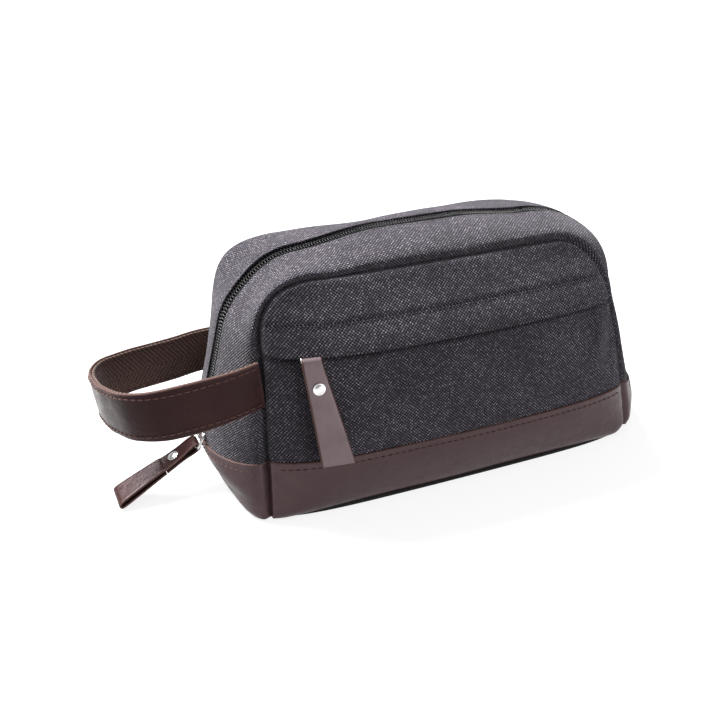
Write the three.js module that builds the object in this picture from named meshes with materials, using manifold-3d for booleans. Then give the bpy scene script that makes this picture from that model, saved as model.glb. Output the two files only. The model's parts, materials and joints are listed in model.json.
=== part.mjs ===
// Canvas and leather shaving kit bag with a wrist strap, a main zip over the top and a zipped front pocket.
// Millimetres. The origin is the centre of the underside, +X runs along the bag (the strap is at -X),
// -Y is the front with the pocket, +Z is up.
import * as THREE from "three";
import { mergeVertices } from "three/addons/utils/BufferGeometryUtils.js";
import Module from "manifold-3d";

const wasm = await Module();
wasm.setup();

// ---- Driving dimensions ----
const GAP = 0.35; // clearance kept between neighbouring pieces
const CANVAS = 1.4; // canvas with its interlining
const LEATHER = 1.4;
const LINING = 0.6;

const BASE_HALF_LENGTH = 112.5;
const BASE_HALF_DEPTH = 54;
const BASE_THICKNESS = 1.5;
const TOP_HALF = { left: 109, right: 94 }; // the bag slumps to the left, so its top is off centre
const SEAM_LEAN = 0.2; // the long seams lean inwards by this much for each millimetre of height
const SEAM_HEIGHT = 124;
const CORNER_RADIUS = 33;
const CORNER_START = SEAM_HEIGHT - CORNER_RADIUS;
const CORNER_ARC = (CORNER_RADIUS * Math.PI) / 2;

// How far the front and rear faces swell beyond the flat plane between their seams, by height.
const FACE_SWELL = [[0, 2.6], [34, 15.2], [90, 21.6], [SEAM_HEIGHT, 4]];
// How far the end and top strip stands proud of the seam at its crown, by distance along the seam.
const CROWN = {
  left: [[0, 8], [10, 14], [24, 20.1], [88, 9.8], [117, 3], [CORNER_START + CORNER_ARC, 4], [190, 10]],
  right: [[0, 6], [10, 14], [24, 22], [64, 15], [91, 10], [CORNER_START + CORNER_ARC, 6], [190, 10]],
};
// How squarely the strip is filled out from seam to seam, by distance along the seam: 2 is a plain arch.
const SQUARENESS = [[0, 5], [30, 2.6], [60, 2]];

const TRIM_HEIGHT = 34; // top edge of the leather trim on the long faces
const TRIM_DIP = 9; // how much lower it runs at the middle of each end
const ZIP_HALF_OPENING = 5.5; // canvas edge to zip centre
const COIL = { inner: 0.9, outer: 3.2, top: 0.6, bottom: 3.0 };
const TAPE = { outer: 9, top: 1.75, bottom: 2.35 };
const ZIP_END = 26; // lower end of the main zip on each end of the bag
// A zip stop; spacing is from the zip's last station to the middle of the stop.
const STOP = { length: 2.2, thickness: 2.6, spacing: 1.6 };

const PLACKET = { bottom: 90, top: 103, lift: 6.2, hug: 1.9, thickness: 1.5 };
const POCKET_SLOT = { bottom: 89, top: 101.5 }; // edges of the canvas below and above the pocket zip
const POCKET_ZIP = {
  height: 96, // where the zip's middle plane meets the front face
  depth: 5, // chain middle, behind the front face
  radius: 640, // the zip curves with the face, about an upright axis
  tilt: Math.atan(0.65), // it leans back with the face
  from: -92,
  to: 78,
};
const POCKET_SLIDER_X = -84;
const POCKET_BAG = { from: -88, to: 76, bottom: 42, top: 86, outer: 9, inner: 10.4 };

// The lining hangs inside as an open tub, set in from the faces and (by height) from the ends.
const TUB = { floor: 5.2, rim: 112, front: 11, rear: 3.2, ends: [[5.2, 19], [20, 5.5]], around: 30 };
const BOARD = { length: 188, width: 96, radius: 10, thickness: 1.8 };

const SLIDER = { length: 11, width: 8.8, plate: 1.05, chainGap: 1.55, neck: 1.1 };
const BRIDGE = { length: 7, width: 2, height: 2.6, hole: 4.4, holeHeight: 1.7 };
const MAIN_SLIDER_S = 31; // its place along the seam
const RING = { wire: 0.7, halfWidth: 6.6, squareness: 0.32 };
const TAB = { thickness: 1.2, topWidth: 10, tipWidth: 17.5, wrap: 1.75, pinch: 0.9, belly: 1.6, rivetAt: 13 };
const RIVET = { shank: 1.2, head: 3.2, seat: TAB.pinch + 0.1 + TAB.thickness / 2 + 0.3, dome: 1.1 };
const MAIN_PULL = { barX: -1, ringLength: 8.6, ringAngle: 0.35, tabLength: 51, tabAngle: 0.57, lean: -0.12 };
const POCKET_PULL = { barX: 0, ringLength: 12.6, ringAngle: 0.3, tabLength: 57, tabAngle: -0.76, lean: -0.2 };

const STRAP = { width: 26, leather: 1.5, webbing: 1.3 };
const STRAP_ROUTE = [
  [-111.8, -42, 75], [-136, -43, 72.6], [-158, -41, 70], [-174, -31, 66.5], [-183, -10, 62],
  [-183.5, 13, 58.5], [-176, 29, 56], [-160, 36.5, 54.5], [-138, 40, 54.8], [-111.8, 46.5, 56.3],
];

const FINISH = {
  canvas: { color: 0x3b3a3f, roughness: 0.95 },
  leather: { color: 0x4a342f, roughness: 0.45 },
  base: { color: 0x161517, roughness: 0.7 },
  board: { color: 0x6b6458, roughness: 0.9 },
  lining: { color: 0x24242a, roughness: 0.9 },
  webbing: { color: 0x46342b, roughness: 0.9 },
  zip: { color: 0x121214, roughness: 0.6 },
  metal: { color: 0xb9babd, roughness: 0.3, metalness: 1 },
};
const MATERIALS = Object.fromEntries(
  Object.entries(FINISH).map(([name, look]) => [name, new THREE.MeshStandardMaterial(look)]),
);

const bag = new THREE.Group();

function add(name, material, geometry, parent = bag) {
  const mesh = new THREE.Mesh(geometry, MATERIALS[material]);
  mesh.name = name;
  parent.add(mesh);
  return mesh;
}

// ---- Building closed solids from rows of points ----
const steps = (from, to, count) =>
  Array.from({ length: count + 1 }, (_, i) => THREE.MathUtils.lerp(from, to, i / count));

// Straight-line reading of a list of [position, value] knots.
function along(knots, position) {
  const next = knots.findIndex(([at]) => at >= position);
  if (next === 0) return knots[0][1];
  if (next < 0) return knots[knots.length - 1][1];
  const [[a, low], [b, high]] = [knots[next - 1], knots[next]];
  return THREE.MathUtils.mapLinear(position, a, b, low, high);
}

// A closed geometry from triangles given as corner triples, turned to face out.
function closedGeometry(triangles) {
  const solid = triangles.filter(([a, b, c]) => {
    const edge = new THREE.Vector3().subVectors(b, a);
    return edge.cross(new THREE.Vector3().subVectors(c, a)).length() > 1e-7;
  });
  const volume = solid.reduce((sum, [a, b, c]) => sum + a.dot(new THREE.Vector3().crossVectors(b, c)), 0);
  const corners = solid.flatMap(([a, b, c]) => (volume > 0 ? [a, b, c] : [a, c, b]));
  const geometry = mergeVertices(new THREE.BufferGeometry().setFromPoints(corners), 1e-4);
  geometry.computeVertexNormals();
  return geometry;
}

const quad = (a, b, c, d) => [[a, b, c], [a, c, d]];

// The skin between consecutive loops of points; "ring" joins the last loop to the first.
function skin(loops, ring = false) {
  const pairs = loops.slice(1).map((loop, i) => [loops[i], loop]);
  if (ring) pairs.push([loops[loops.length - 1], loops[0]]);
  return pairs.flatMap(([from, to]) =>
    from.flatMap((point, j) => {
      const k = (j + 1) % from.length;
      return quad(point, from[k], to[k], to[j]);
    }),
  );
}

// A sheet of even layers: point(u, v, inner) gives each side's surface at every station.
function sheet(uStations, vStations, point) {
  const side = (u, inner) => vStations.map((v) => point(u, v, inner));
  const loops = uStations.map((u) => [...side(u, false), ...side(u, true).reverse()]);
  const cap = (u) => {
    const [outer, inner] = [side(u, false), side(u, true)];
    return outer.slice(1).flatMap((_, j) => quad(outer[j], outer[j + 1], inner[j + 1], inner[j]));
  };
  const first = cap(uStations[0]).map(([a, b, c]) => [a, c, b]);
  return closedGeometry([...skin(loops), ...first, ...cap(uStations[uStations.length - 1])]);
}

function toManifold(geometry) {
  const bare = geometry.clone();
  bare.deleteAttribute("normal");
  bare.deleteAttribute("uv");
  const merged = mergeVertices(bare, 1e-4);
  return new wasm.Manifold(new wasm.Mesh({
    numProp: 3,
    vertProperties: merged.attributes.position.array,
    triVerts: new Uint32Array(merged.index.array),
  }));
}

function fromManifold(solid) {
  const mesh = solid.getMesh();
  const geometry = new THREE.BufferGeometry();
  geometry.setAttribute("position", new THREE.BufferAttribute(new Float32Array(mesh.vertProperties), 3));
  geometry.setIndex(Array.from(mesh.triVerts));
  geometry.computeVertexNormals();
  return geometry;
}

// ---- The bag's surfaces ----
const sideSign = { left: -1, right: 1 };
const sideLean = (side) => (BASE_HALF_LENGTH - TOP_HALF[side]) / CORNER_START;

function faceFullness(x) {
  const share = Math.min(Math.abs(x) / BASE_HALF_LENGTH, 1);
  return (1 - 0.35 * share ** 2) * (1 - share ** 7);
}

// Half the bag's depth at a point of its front or rear face.
function faceDepth(x, z) {
  return BASE_HALF_DEPTH - SEAM_LEAN * z + along(FACE_SWELL, z) * faceFullness(x);
}

// Where a face ends on each side at height z.
function faceEnd(side, z) {
  const rise = z - CORNER_START;
  if (rise <= 0) return BASE_HALF_LENGTH - sideLean(side) * z;
  return TOP_HALF[side] - CORNER_RADIUS + Math.sqrt(Math.max(CORNER_RADIUS ** 2 - rise ** 2, 0));
}

// A point of the seam line, with its outward direction, at distance s from the base.
function seam(side, s) {
  const sign = sideSign[side];
  if (s <= CORNER_START) {
    return { x: sign * faceEnd(side, s), z: s, nx: sign, nz: 0 };
  }
  const start = sign * (TOP_HALF[side] - CORNER_RADIUS);
  const angle = Math.min((s - CORNER_START) / CORNER_RADIUS, Math.PI / 2);
  const beyond = Math.max(s - CORNER_START - CORNER_ARC, 0);
  return {
    x: start + sign * CORNER_RADIUS * Math.cos(angle) - sign * beyond,
    z: CORNER_START + CORNER_RADIUS * Math.sin(angle),
    nx: sign * Math.cos(angle),
    nz: Math.sin(angle),
  };
}

// A point of the strip that runs up each end and over the top, between the two faces.
function stripPoint(side, s, y, depth) {
  const edge = seam(side, s);
  const across = y / faceDepth(edge.x, edge.z);
  const out = along(CROWN[side], s) * (1 - Math.abs(across) ** along(SQUARENESS, s)) - depth;
  return new THREE.Vector3(edge.x + edge.nx * out, y, edge.z + edge.nz * out);
}

const stripEdge = (side, s) => {
  const edge = seam(side, s);
  return faceDepth(edge.x, edge.z) - CANVAS - GAP;
};

// ---- Front and rear faces ----
const FACE_COLUMNS = steps(0, 1, 18);
const CORNER_HEIGHTS = steps(0, Math.PI / 2, 5).slice(1)
  .map((turn) => CORNER_START + CORNER_RADIUS * Math.sin(turn));

// One horizontal band of a face; "proud" is how far its outside stands off the face, by height.
function faceBand(front, heights, proud, thickness) {
  const sign = front ? -1 : 1;
  return sheet(FACE_COLUMNS, heights, (u, z, inner) => {
    const x = THREE.MathUtils.lerp(-faceEnd("left", z), faceEnd("right", z), u);
    const y = faceDepth(x, z) + proud(z) - (inner ? thickness : 0);
    return new THREE.Vector3(x, sign * y, z);
  });
}

const flush = () => 0;
const WALL_FOOT = BASE_THICKNESS + GAP;
const trimHeights = steps(WALL_FOOT, TRIM_HEIGHT, 3);
const lowerHeights = steps(TRIM_HEIGHT + GAP, POCKET_SLOT.bottom, 4);
const upperHeights = [POCKET_SLOT.top, ...CORNER_HEIGHTS.slice(1)];
const rearHeights = [...steps(TRIM_HEIGHT + GAP, CORNER_START, 4), ...CORNER_HEIGHTS];

add("front_leather_trim", "leather", faceBand(true, trimHeights, flush, LEATHER));
add("rear_leather_trim", "leather", faceBand(false, trimHeights, flush, LEATHER));
add("front_lower_panel", "canvas", faceBand(true, lowerHeights, flush, CANVAS));
add("front_upper_panel", "canvas", faceBand(true, upperHeights, flush, CANVAS));
add("rear_panel", "canvas", faceBand(false, rearHeights, flush, CANVAS));

const placketLift = (z) =>
  THREE.MathUtils.mapLinear(z, PLACKET.bottom, PLACKET.top, PLACKET.lift, PLACKET.hug);
add("pocket_placket", "canvas",
  faceBand(true, steps(PLACKET.bottom, PLACKET.top, 2), placketLift, PLACKET.thickness));

// ---- Base ----
function baseOutline() {
  const corners = [];
  const face = (x) => faceDepth(x, 0);
  for (const x of steps(-BASE_HALF_LENGTH, BASE_HALF_LENGTH, 16)) corners.push([x, -face(x)]);
  for (const y of steps(-1, 1, 8).slice(1, -1)) corners.push([endX("right", y), y * face(BASE_HALF_LENGTH)]);
  for (const x of steps(BASE_HALF_LENGTH, -BASE_HALF_LENGTH, 16)) corners.push([x, face(x)]);
  for (const y of steps(1, -1, 8).slice(1, -1)) corners.push([endX("left", y), y * face(BASE_HALF_LENGTH)]);
  return new THREE.Shape(corners.map(([x, y]) => new THREE.Vector2(x, y)));
}

function endX(side, across) {
  const fullness = 1 - Math.abs(across) ** along(SQUARENESS, 0);
  return sideSign[side] * (BASE_HALF_LENGTH + along(CROWN[side], 0) * fullness);
}

function roundedRectangle(length, width, radius) {
  const [x, y] = [length / 2, width / 2];
  const shape = new THREE.Shape();
  shape.moveTo(-x + radius, -y);
  shape.absarc(x - radius, -y + radius, radius, -Math.PI / 2, 0);
  shape.absarc(x - radius, y - radius, radius, 0, Math.PI / 2);
  shape.absarc(-x + radius, y - radius, radius, Math.PI / 2, Math.PI);
  shape.absarc(-x + radius, -y + radius, radius, Math.PI, Math.PI * 1.5);
  return shape;
}

const extrude = (shape, depth) =>
  new THREE.ExtrudeGeometry(shape, { depth, bevelEnabled: false, curveSegments: 4 });

add("base_panel", "base", extrude(baseOutline(), BASE_THICKNESS));
const boardShape = roundedRectangle(BOARD.length, BOARD.width, BOARD.radius);
const board = add("base_board", "board", extrude(boardShape, BOARD.thickness));
board.position.z = BASE_THICKNESS + GAP;

// ---- Leather ends, canvas ends and the top strip ----
const CORNER_END = CORNER_START + CORNER_ARC;
const END_STATIONS = [ZIP_END, 57, 88, 95, 102.5, 110, 117, 125, 134, CORNER_END];
const trimTop = (y) => ZIP_END - 1 + TRIM_DIP * (y / BASE_HALF_DEPTH) ** 2;

function endLeather(side) {
  const seamTop = trimTop(stripEdge(side, ZIP_END));
  return sheet(steps(0, 1, 4), steps(-1, 1, 10), (u, v, inner) => {
    const y = v * stripEdge(side, THREE.MathUtils.lerp(WALL_FOOT, seamTop, u));
    const s = THREE.MathUtils.lerp(WALL_FOOT, trimTop(y), u);
    return stripPoint(side, s, y, inner ? LEATHER : 0);
  });
}

// The canvas of an end and its corner, from the seam to the zip on one side of it.
function gusset(side, sign) {
  const seamFoot = trimTop(stripEdge(side, ZIP_END));
  return sheet(END_STATIONS, steps(0, 1, 5), (station, v, inner) => {
    const edge = stripEdge(side, Math.max(station, seamFoot));
    const y = sign * THREE.MathUtils.lerp(edge, ZIP_HALF_OPENING, v);
    const s = station === ZIP_END ? trimTop(y) + GAP : station;
    return stripPoint(side, s, y, inner ? CANVAS : 0);
  });
}

for (const side of ["left", "right"]) {
  add(side + "_end_leather", "leather", endLeather(side));
  add(side + "_gusset_front", "canvas", gusset(side, -1));
  add(side + "_gusset_rear", "canvas", gusset(side, 1));
}

// The top strip between the two corners opens as two flaps.
const TOP = {
  from: -(TOP_HALF.left - CORNER_RADIUS) + GAP,
  to: TOP_HALF.right - CORNER_RADIUS - GAP,
};

function topPoint(x, y, depth) {
  const run = (side) => CORNER_END + TOP_HALF[side] - CORNER_RADIUS - sideSign[side] * x;
  const shares = { left: along(CROWN.left, run("left")), right: along(CROWN.right, run("right")) };
  const crown = x < 0 ? shares.left : shares.right;
  const across = y / faceDepth(x, SEAM_HEIGHT);
  return new THREE.Vector3(x, y, SEAM_HEIGHT + crown * (1 - across ** 2) - depth);
}

const TOP_STATIONS = steps(TOP.from, TOP.to, 10);
const topEdge = (x) => faceDepth(x, SEAM_HEIGHT) - CANVAS - GAP;

function flapSheet(sign, outset, inset, depth, thickness) {
  return sheet(TOP_STATIONS, steps(0, 1, 4), (x, v, inner) => {
    const y = THREE.MathUtils.lerp(topEdge(x) - outset, inset, v);
    return topPoint(x, sign * y, depth + (inner ? thickness : 0));
  });
}

for (const [name, sign] of [["front", -1], ["rear", 1]]) {
  add("top_flap_" + name, "canvas", flapSheet(sign, 0, ZIP_HALF_OPENING, 0, CANVAS));
  add("flap_lining_" + name, "lining", flapSheet(sign, 3, TAPE.outer + 0.8, CANVAS + GAP, LINING));
}

// ---- Main zip: a tape with half the coil on each side of the opening ----
// The stringer's section, from tape edge to coil: [distance from centre, upper depth, lower depth].
const STRINGER = [
  [TAPE.outer, TAPE.top, TAPE.bottom],
  [COIL.outer + 0.1, TAPE.top, TAPE.bottom],
  [COIL.outer, COIL.top, COIL.bottom],
  [COIL.inner, COIL.top, COIL.bottom],
];

const stringer = (stations, place) =>
  sheet(stations, STRINGER, (u, [y, top, bottom], inner) => place(u, y, inner ? bottom : top));

const zipFoot = { left: ZIP_END, right: ZIP_END + 3 }; // the right end leaves room for its stop
for (const [name, sign] of [["front", -1], ["rear", 1]]) {
  for (const side of ["left", "right"]) {
    add(side + "_zip_" + name, "zip",
      stringer([zipFoot[side], ...END_STATIONS.slice(1)],
        (s, y, depth) => stripPoint(side, s, sign * y, depth)));
  }
  add("top_zip_" + name, "zip",
    stringer(TOP_STATIONS, (x, y, depth) => topPoint(x, sign * y, depth)));
}

// ---- Lining: an open-topped tub hanging inside ----
function liningLoop(z, inset) {
  return steps(0, 2 * Math.PI, TUB.around).slice(0, -1).map((angle) => {
    const [c, s] = [Math.cos(angle), Math.sin(angle)];
    const squareness = (value) => Math.sign(value) * Math.abs(value) ** 0.38;
    const side = c < 0 ? "left" : "right";
    const x = squareness(c) * (faceEnd(side, Math.min(z, 100)) - along(TUB.ends, z) - inset);
    const wall = s < 0 ? TUB.front : TUB.rear;
    const y = squareness(s) * (faceDepth(x, z) - wall - inset);
    return new THREE.Vector3(x, y, z);
  });
}

function liningTub() {
  const heights = [TUB.floor, 20, 34, 60, 90, TUB.rim];
  const hub = (z) => liningLoop(z, 0).map(() => new THREE.Vector3(0, 0, z));
  const outside = heights.map((z) => liningLoop(z, 0));
  const inside = heights.map((z, i) => liningLoop(i ? z : z + LINING, LINING)).reverse();
  const floorTop = TUB.floor + LINING;
  return closedGeometry(skin([hub(TUB.floor), ...outside, ...inside, hub(floorTop)]));
}

add("lining_bag", "lining", liningTub());

// ---- Front pocket: zip, stops and bag ----
const POCKET_OUT = { away: Math.cos(POCKET_ZIP.tilt), up: Math.sin(POCKET_ZIP.tilt) };
const POCKET_AXIS_Y = POCKET_ZIP.radius - faceDepth(0, POCKET_ZIP.height);

// A point beside the pocket zip: up its slope by "rise" and out from the chain's middle plane.
function pocketPoint(x, rise, out) {
  const level = out - POCKET_ZIP.depth;
  const radius = POCKET_ZIP.radius + level * POCKET_OUT.away - rise * POCKET_OUT.up;
  const turn = Math.asin(x / POCKET_ZIP.radius);
  const z = POCKET_ZIP.height + level * POCKET_OUT.up + rise * POCKET_OUT.away;
  return new THREE.Vector3(radius * Math.sin(turn), POCKET_AXIS_Y - radius * Math.cos(turn), z);
}

const chainMiddle = (COIL.top + COIL.bottom) / 2;
for (const [name, sign] of [["upper", 1], ["lower", -1]]) {
  add("pocket_zip_" + name, "zip",
    stringer(steps(POCKET_ZIP.from, POCKET_ZIP.to, 14),
      (x, rise, depth) => pocketPoint(x, sign * rise, chainMiddle - depth)));
}

const stopGeometry = () => new THREE.BoxGeometry(STOP.length, 2 * COIL.outer, STOP.thickness);

for (const [name, x] of [["left", POCKET_ZIP.from - STOP.spacing], ["right", POCKET_ZIP.to + STOP.spacing]]) {
  const stop = add("pocket_zip_stop_" + name, "metal", stopGeometry());
  stop.position.copy(pocketPoint(x, 0, 0));
  stop.rotation.x = Math.PI / 2 - POCKET_ZIP.tilt;
}

add("pocket_bag", "lining", sheet(steps(POCKET_BAG.from, POCKET_BAG.to, 12),
  steps(POCKET_BAG.bottom, POCKET_BAG.top, 3), (x, z, inner) =>
  new THREE.Vector3(x, -(faceDepth(x, z) - (inner ? POCKET_BAG.inner : POCKET_BAG.outer)), z)));

// ---- Sliders, rings, pull tabs and rivets ----
// Local frame of a slider: X along its travel, Y across the zip, Z out of the bag.
function box(length, width, height, x, z) {
  return toManifold(new THREE.BoxGeometry(length, width, height).translate(x, 0, z));
}

const PLATE_TOP = SLIDER.chainGap + SLIDER.plate;
const BAR_HEIGHT = PLATE_TOP + BRIDGE.holeHeight / 2 + 0.1;

function sliderGeometry(bridgeAcross) {
  const plateMiddle = SLIDER.chainGap + SLIDER.plate / 2;
  const top = box(SLIDER.length, SLIDER.width, SLIDER.plate, 0, plateMiddle);
  const bottom = box(SLIDER.length, SLIDER.width, SLIDER.plate, 0, -plateMiddle);
  const neck = box(2.4, SLIDER.neck, 2 * SLIDER.chainGap + 0.4, SLIDER.length / 2 - 1.6, 0);
  const post = box(BRIDGE.length, BRIDGE.width, BRIDGE.height + 0.2, 0, PLATE_TOP + BRIDGE.height / 2 - 0.1);
  const hole = box(BRIDGE.hole, BRIDGE.width + 2, BRIDGE.holeHeight, 0, BAR_HEIGHT);
  const arch = post.subtract(hole).rotate([0, 0, bridgeAcross ? 90 : 0]);
  return fromManifold(top.add(bottom).add(neck).add(arch));
}

// A wire ring in its local XY plane: the near bar on the Y axis, the far bar at x = -length.
function ringGeometry(length) {
  const bend = (value) => Math.sign(value) * Math.abs(value) ** RING.squareness;
  const middle = steps(0, 2 * Math.PI, 20).slice(0, -1).map((angle) => new THREE.Vector3(
    -length / 2 + (length / 2) * bend(Math.cos(angle)), RING.halfWidth * bend(Math.sin(angle)), 0));
  const loops = middle.map((centre, i) => {
    const before = middle[(i + middle.length - 1) % middle.length];
    const after = middle[(i + 1) % middle.length];
    const forward = new THREE.Vector3().subVectors(after, before).normalize();
    const out = new THREE.Vector3(forward.y, -forward.x, 0);
    return steps(0, 2 * Math.PI, 6).slice(0, -1).map((turn) => centre.clone()
      .addScaledVector(out, RING.wire * Math.cos(turn))
      .add(new THREE.Vector3(0, 0, RING.wire * Math.sin(turn))));
  });
  return closedGeometry(skin(loops, true));
}

// A strip of leather folded into a long loop: round the ring's bar at the origin, riveted, folded at the tip.
function tabLoop(length, lean) {
  const middle = new THREE.CatmullRomCurve3([
    [21, -TAB.pinch - 0.15], [length * 0.7, -TAB.belly], [length - 4, -TAB.belly], [length - 0.6, 0],
    [length - 4, TAB.belly], [length * 0.7, TAB.belly], [18, TAB.pinch], [9, TAB.pinch + 0.1],
    [3, TAB.wrap], [0, TAB.wrap], [-TAB.wrap * 0.71, TAB.wrap * 0.71], [-TAB.wrap, 0],
    [-TAB.wrap * 0.71, -TAB.wrap * 0.71], [0, -TAB.wrap], [3, -TAB.wrap], [9, -TAB.pinch - 0.1],
    [18.5, -TAB.pinch - 0.15],
  ].map(([x, z]) => new THREE.Vector3(-x, 0, z)), false, "centripetal");
  const strip = sheet(steps(0, 1, 36), [-0.5, 0.5], (u, v, inner) => {
    const centre = middle.getPoint(u);
    const forward = middle.getTangent(u);
    const out = new THREE.Vector3(forward.z, 0, -forward.x);
    const share = THREE.MathUtils.clamp(-centre.x / length, 0, 1);
    const width = THREE.MathUtils.lerp(TAB.topWidth, TAB.tipWidth, share);
    const point = centre.addScaledVector(out, (inner ? -0.5 : 0.5) * TAB.thickness);
    return point.setY(v * width + lean * share * length);
  });
  const hole = new THREE.CylinderGeometry(RIVET.shank + GAP, RIVET.shank + GAP, 12, 12);
  hole.rotateX(Math.PI / 2).translate(-TAB.rivetAt, lean * TAB.rivetAt, 0);
  return fromManifold(toManifold(strip).subtract(toManifold(hole)));
}

function rivetGeometry() {
  const { head, seat, dome, shank } = RIVET;
  const lower = [
    [0, seat + dome], [head * 0.8, seat + dome * 0.7], [head, seat + 0.25], [head, seat], [shank, seat],
  ];
  const profile = [...lower.map(([r, h]) => [r, -h]), ...lower.reverse()];
  return new THREE.LatheGeometry(profile.map(([r, h]) => new THREE.Vector2(r, h)), 12).rotateX(Math.PI / 2);
}

// Hangs a ring, a tab and its rivet from a slider's bridge. Angles turn about the slider's Y axis.
function addPull(prefix, slider, spec) {
  const ringPivot = new THREE.Group();
  ringPivot.position.set(spec.barX, 0, BAR_HEIGHT);
  ringPivot.rotation.y = spec.ringAngle;
  slider.add(ringPivot);
  add(prefix + "_pull_ring", "metal", ringGeometry(spec.ringLength), ringPivot);
  const tabPivot = new THREE.Group();
  tabPivot.position.x = -spec.ringLength;
  tabPivot.rotation.y = spec.tabAngle;
  ringPivot.add(tabPivot);
  add(prefix + "_pull_tab", "leather", tabLoop(spec.tabLength, spec.lean), tabPivot);
  const rivet = add(prefix + "_pull_rivet", "metal", rivetGeometry(), tabPivot);
  rivet.position.set(-TAB.rivetAt, spec.lean * TAB.rivetAt, 0);
}

// Main slider: low on the left end, travelling up along the zip.
const mainSlider = new THREE.Group();
const zipLow = stripPoint("left", MAIN_SLIDER_S, 0, chainMiddle);
const zipHigh = stripPoint("left", 80, 0, chainMiddle);
const mainTravel = new THREE.Vector3().subVectors(zipHigh, zipLow).normalize();
const across = new THREE.Vector3(0, 1, 0);
mainSlider.quaternion.setFromRotationMatrix(new THREE.Matrix4().makeBasis(
  mainTravel, across, new THREE.Vector3().crossVectors(mainTravel, across)));
mainSlider.position.copy(zipLow);
bag.add(mainSlider);
add("main_slider", "metal", sliderGeometry(false), mainSlider);
addPull("main", mainSlider, MAIN_PULL);

const mainStop = add("main_zip_stop", "metal", stopGeometry());
mainStop.position.copy(stripPoint("right", zipFoot.right - STOP.spacing, 0, chainMiddle));
mainStop.rotation.y = Math.PI / 2;

// Pocket slider: at the left of the pocket zip, travelling to the right. Its bridge runs across the
// zip, so that the pull hangs down the front of the bag.
const pocketSlider = new THREE.Group();
const pocketPlace = pocketPoint(POCKET_SLIDER_X, 0, 0);
const pocketUp = new THREE.Vector3().subVectors(pocketPoint(POCKET_SLIDER_X, 1, 0), pocketPlace);
const pocketOut = new THREE.Vector3().subVectors(pocketPoint(POCKET_SLIDER_X, 0, 1), pocketPlace);
pocketSlider.quaternion.setFromRotationMatrix(new THREE.Matrix4().makeBasis(
  new THREE.Vector3().crossVectors(pocketUp, pocketOut), pocketUp, pocketOut));
pocketSlider.position.copy(pocketPlace);
bag.add(pocketSlider);
add("pocket_slider", "metal", sliderGeometry(true), pocketSlider);
const pocketHang = new THREE.Group();
pocketHang.rotation.z = Math.PI / 2;
pocketSlider.add(pocketHang);
addPull("pocket", pocketHang, POCKET_PULL);

// ---- Wrist strap ----
const strapCurve = new THREE.CatmullRomCurve3(
  STRAP_ROUTE.map((point) => new THREE.Vector3(...point)), false, "centripetal");

// Half the strap's width, rounded at both sewn ends so that it can swing beside the seams.
function strapHalfWidth(u, length) {
  const half = STRAP.width / 2;
  const reach = Math.min(u, 1 - u) * length;
  return reach >= half ? half : Math.max(Math.sqrt(half ** 2 - (half - reach) ** 2), 1);
}

// One layer of the strap, between two distances outside its middle line and short of the ends by a share.
function strapLayer(near, far, short) {
  const length = strapCurve.getLength();
  const ends = [0, 0.006, 0.02, 0.04, 0.06].map((u) => short + u);
  const stations = [...ends, ...steps(0.09, 0.91, 20), ...ends.map((u) => 1 - u).reverse()];
  return sheet(stations, [-1, 1], (u, v, inner) => {
    const point = strapCurve.getPointAt(u);
    const forward = strapCurve.getTangentAt(u);
    const out = new THREE.Vector3(forward.y, -forward.x, 0).normalize().multiplyScalar(-1);
    point.addScaledVector(out, inner ? near : far);
    return point.setZ(point.z + v * strapHalfWidth(u, length));
  });
}

add("strap_leather", "leather", strapLayer(0, STRAP.leather, 0));
add("strap_webbing", "webbing", strapLayer(-GAP - STRAP.webbing, -GAP, 0.022));

export default bag;
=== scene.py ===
"""Looks of a canvas and leather shaving kit bag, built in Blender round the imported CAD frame.

Sizes are in millimetres until a mesh is made. +X runs along the bag (the strap is at -X), -Y is the
pocket side, +Z is up, and the origin is the centre of the underside.
"""

import json
import math

import bpy
import numpy as np
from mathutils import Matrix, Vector

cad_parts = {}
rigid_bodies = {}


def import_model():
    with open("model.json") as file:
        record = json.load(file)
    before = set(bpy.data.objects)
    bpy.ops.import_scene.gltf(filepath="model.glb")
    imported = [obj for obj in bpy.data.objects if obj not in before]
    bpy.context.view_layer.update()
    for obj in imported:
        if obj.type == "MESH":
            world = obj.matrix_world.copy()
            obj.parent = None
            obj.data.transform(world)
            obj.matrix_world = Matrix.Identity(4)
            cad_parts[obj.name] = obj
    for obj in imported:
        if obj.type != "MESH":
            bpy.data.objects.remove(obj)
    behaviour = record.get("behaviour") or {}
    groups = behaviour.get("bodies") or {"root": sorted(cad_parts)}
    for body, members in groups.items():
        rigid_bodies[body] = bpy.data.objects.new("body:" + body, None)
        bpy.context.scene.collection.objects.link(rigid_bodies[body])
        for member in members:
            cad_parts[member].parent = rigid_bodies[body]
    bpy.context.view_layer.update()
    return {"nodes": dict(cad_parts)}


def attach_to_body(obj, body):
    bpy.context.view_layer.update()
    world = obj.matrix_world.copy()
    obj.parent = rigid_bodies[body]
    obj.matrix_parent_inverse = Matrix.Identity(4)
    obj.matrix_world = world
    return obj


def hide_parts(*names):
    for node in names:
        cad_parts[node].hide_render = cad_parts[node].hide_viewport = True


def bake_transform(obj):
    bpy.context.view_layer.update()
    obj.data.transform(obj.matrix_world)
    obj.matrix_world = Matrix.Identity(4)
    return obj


MM = 0.001

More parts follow.
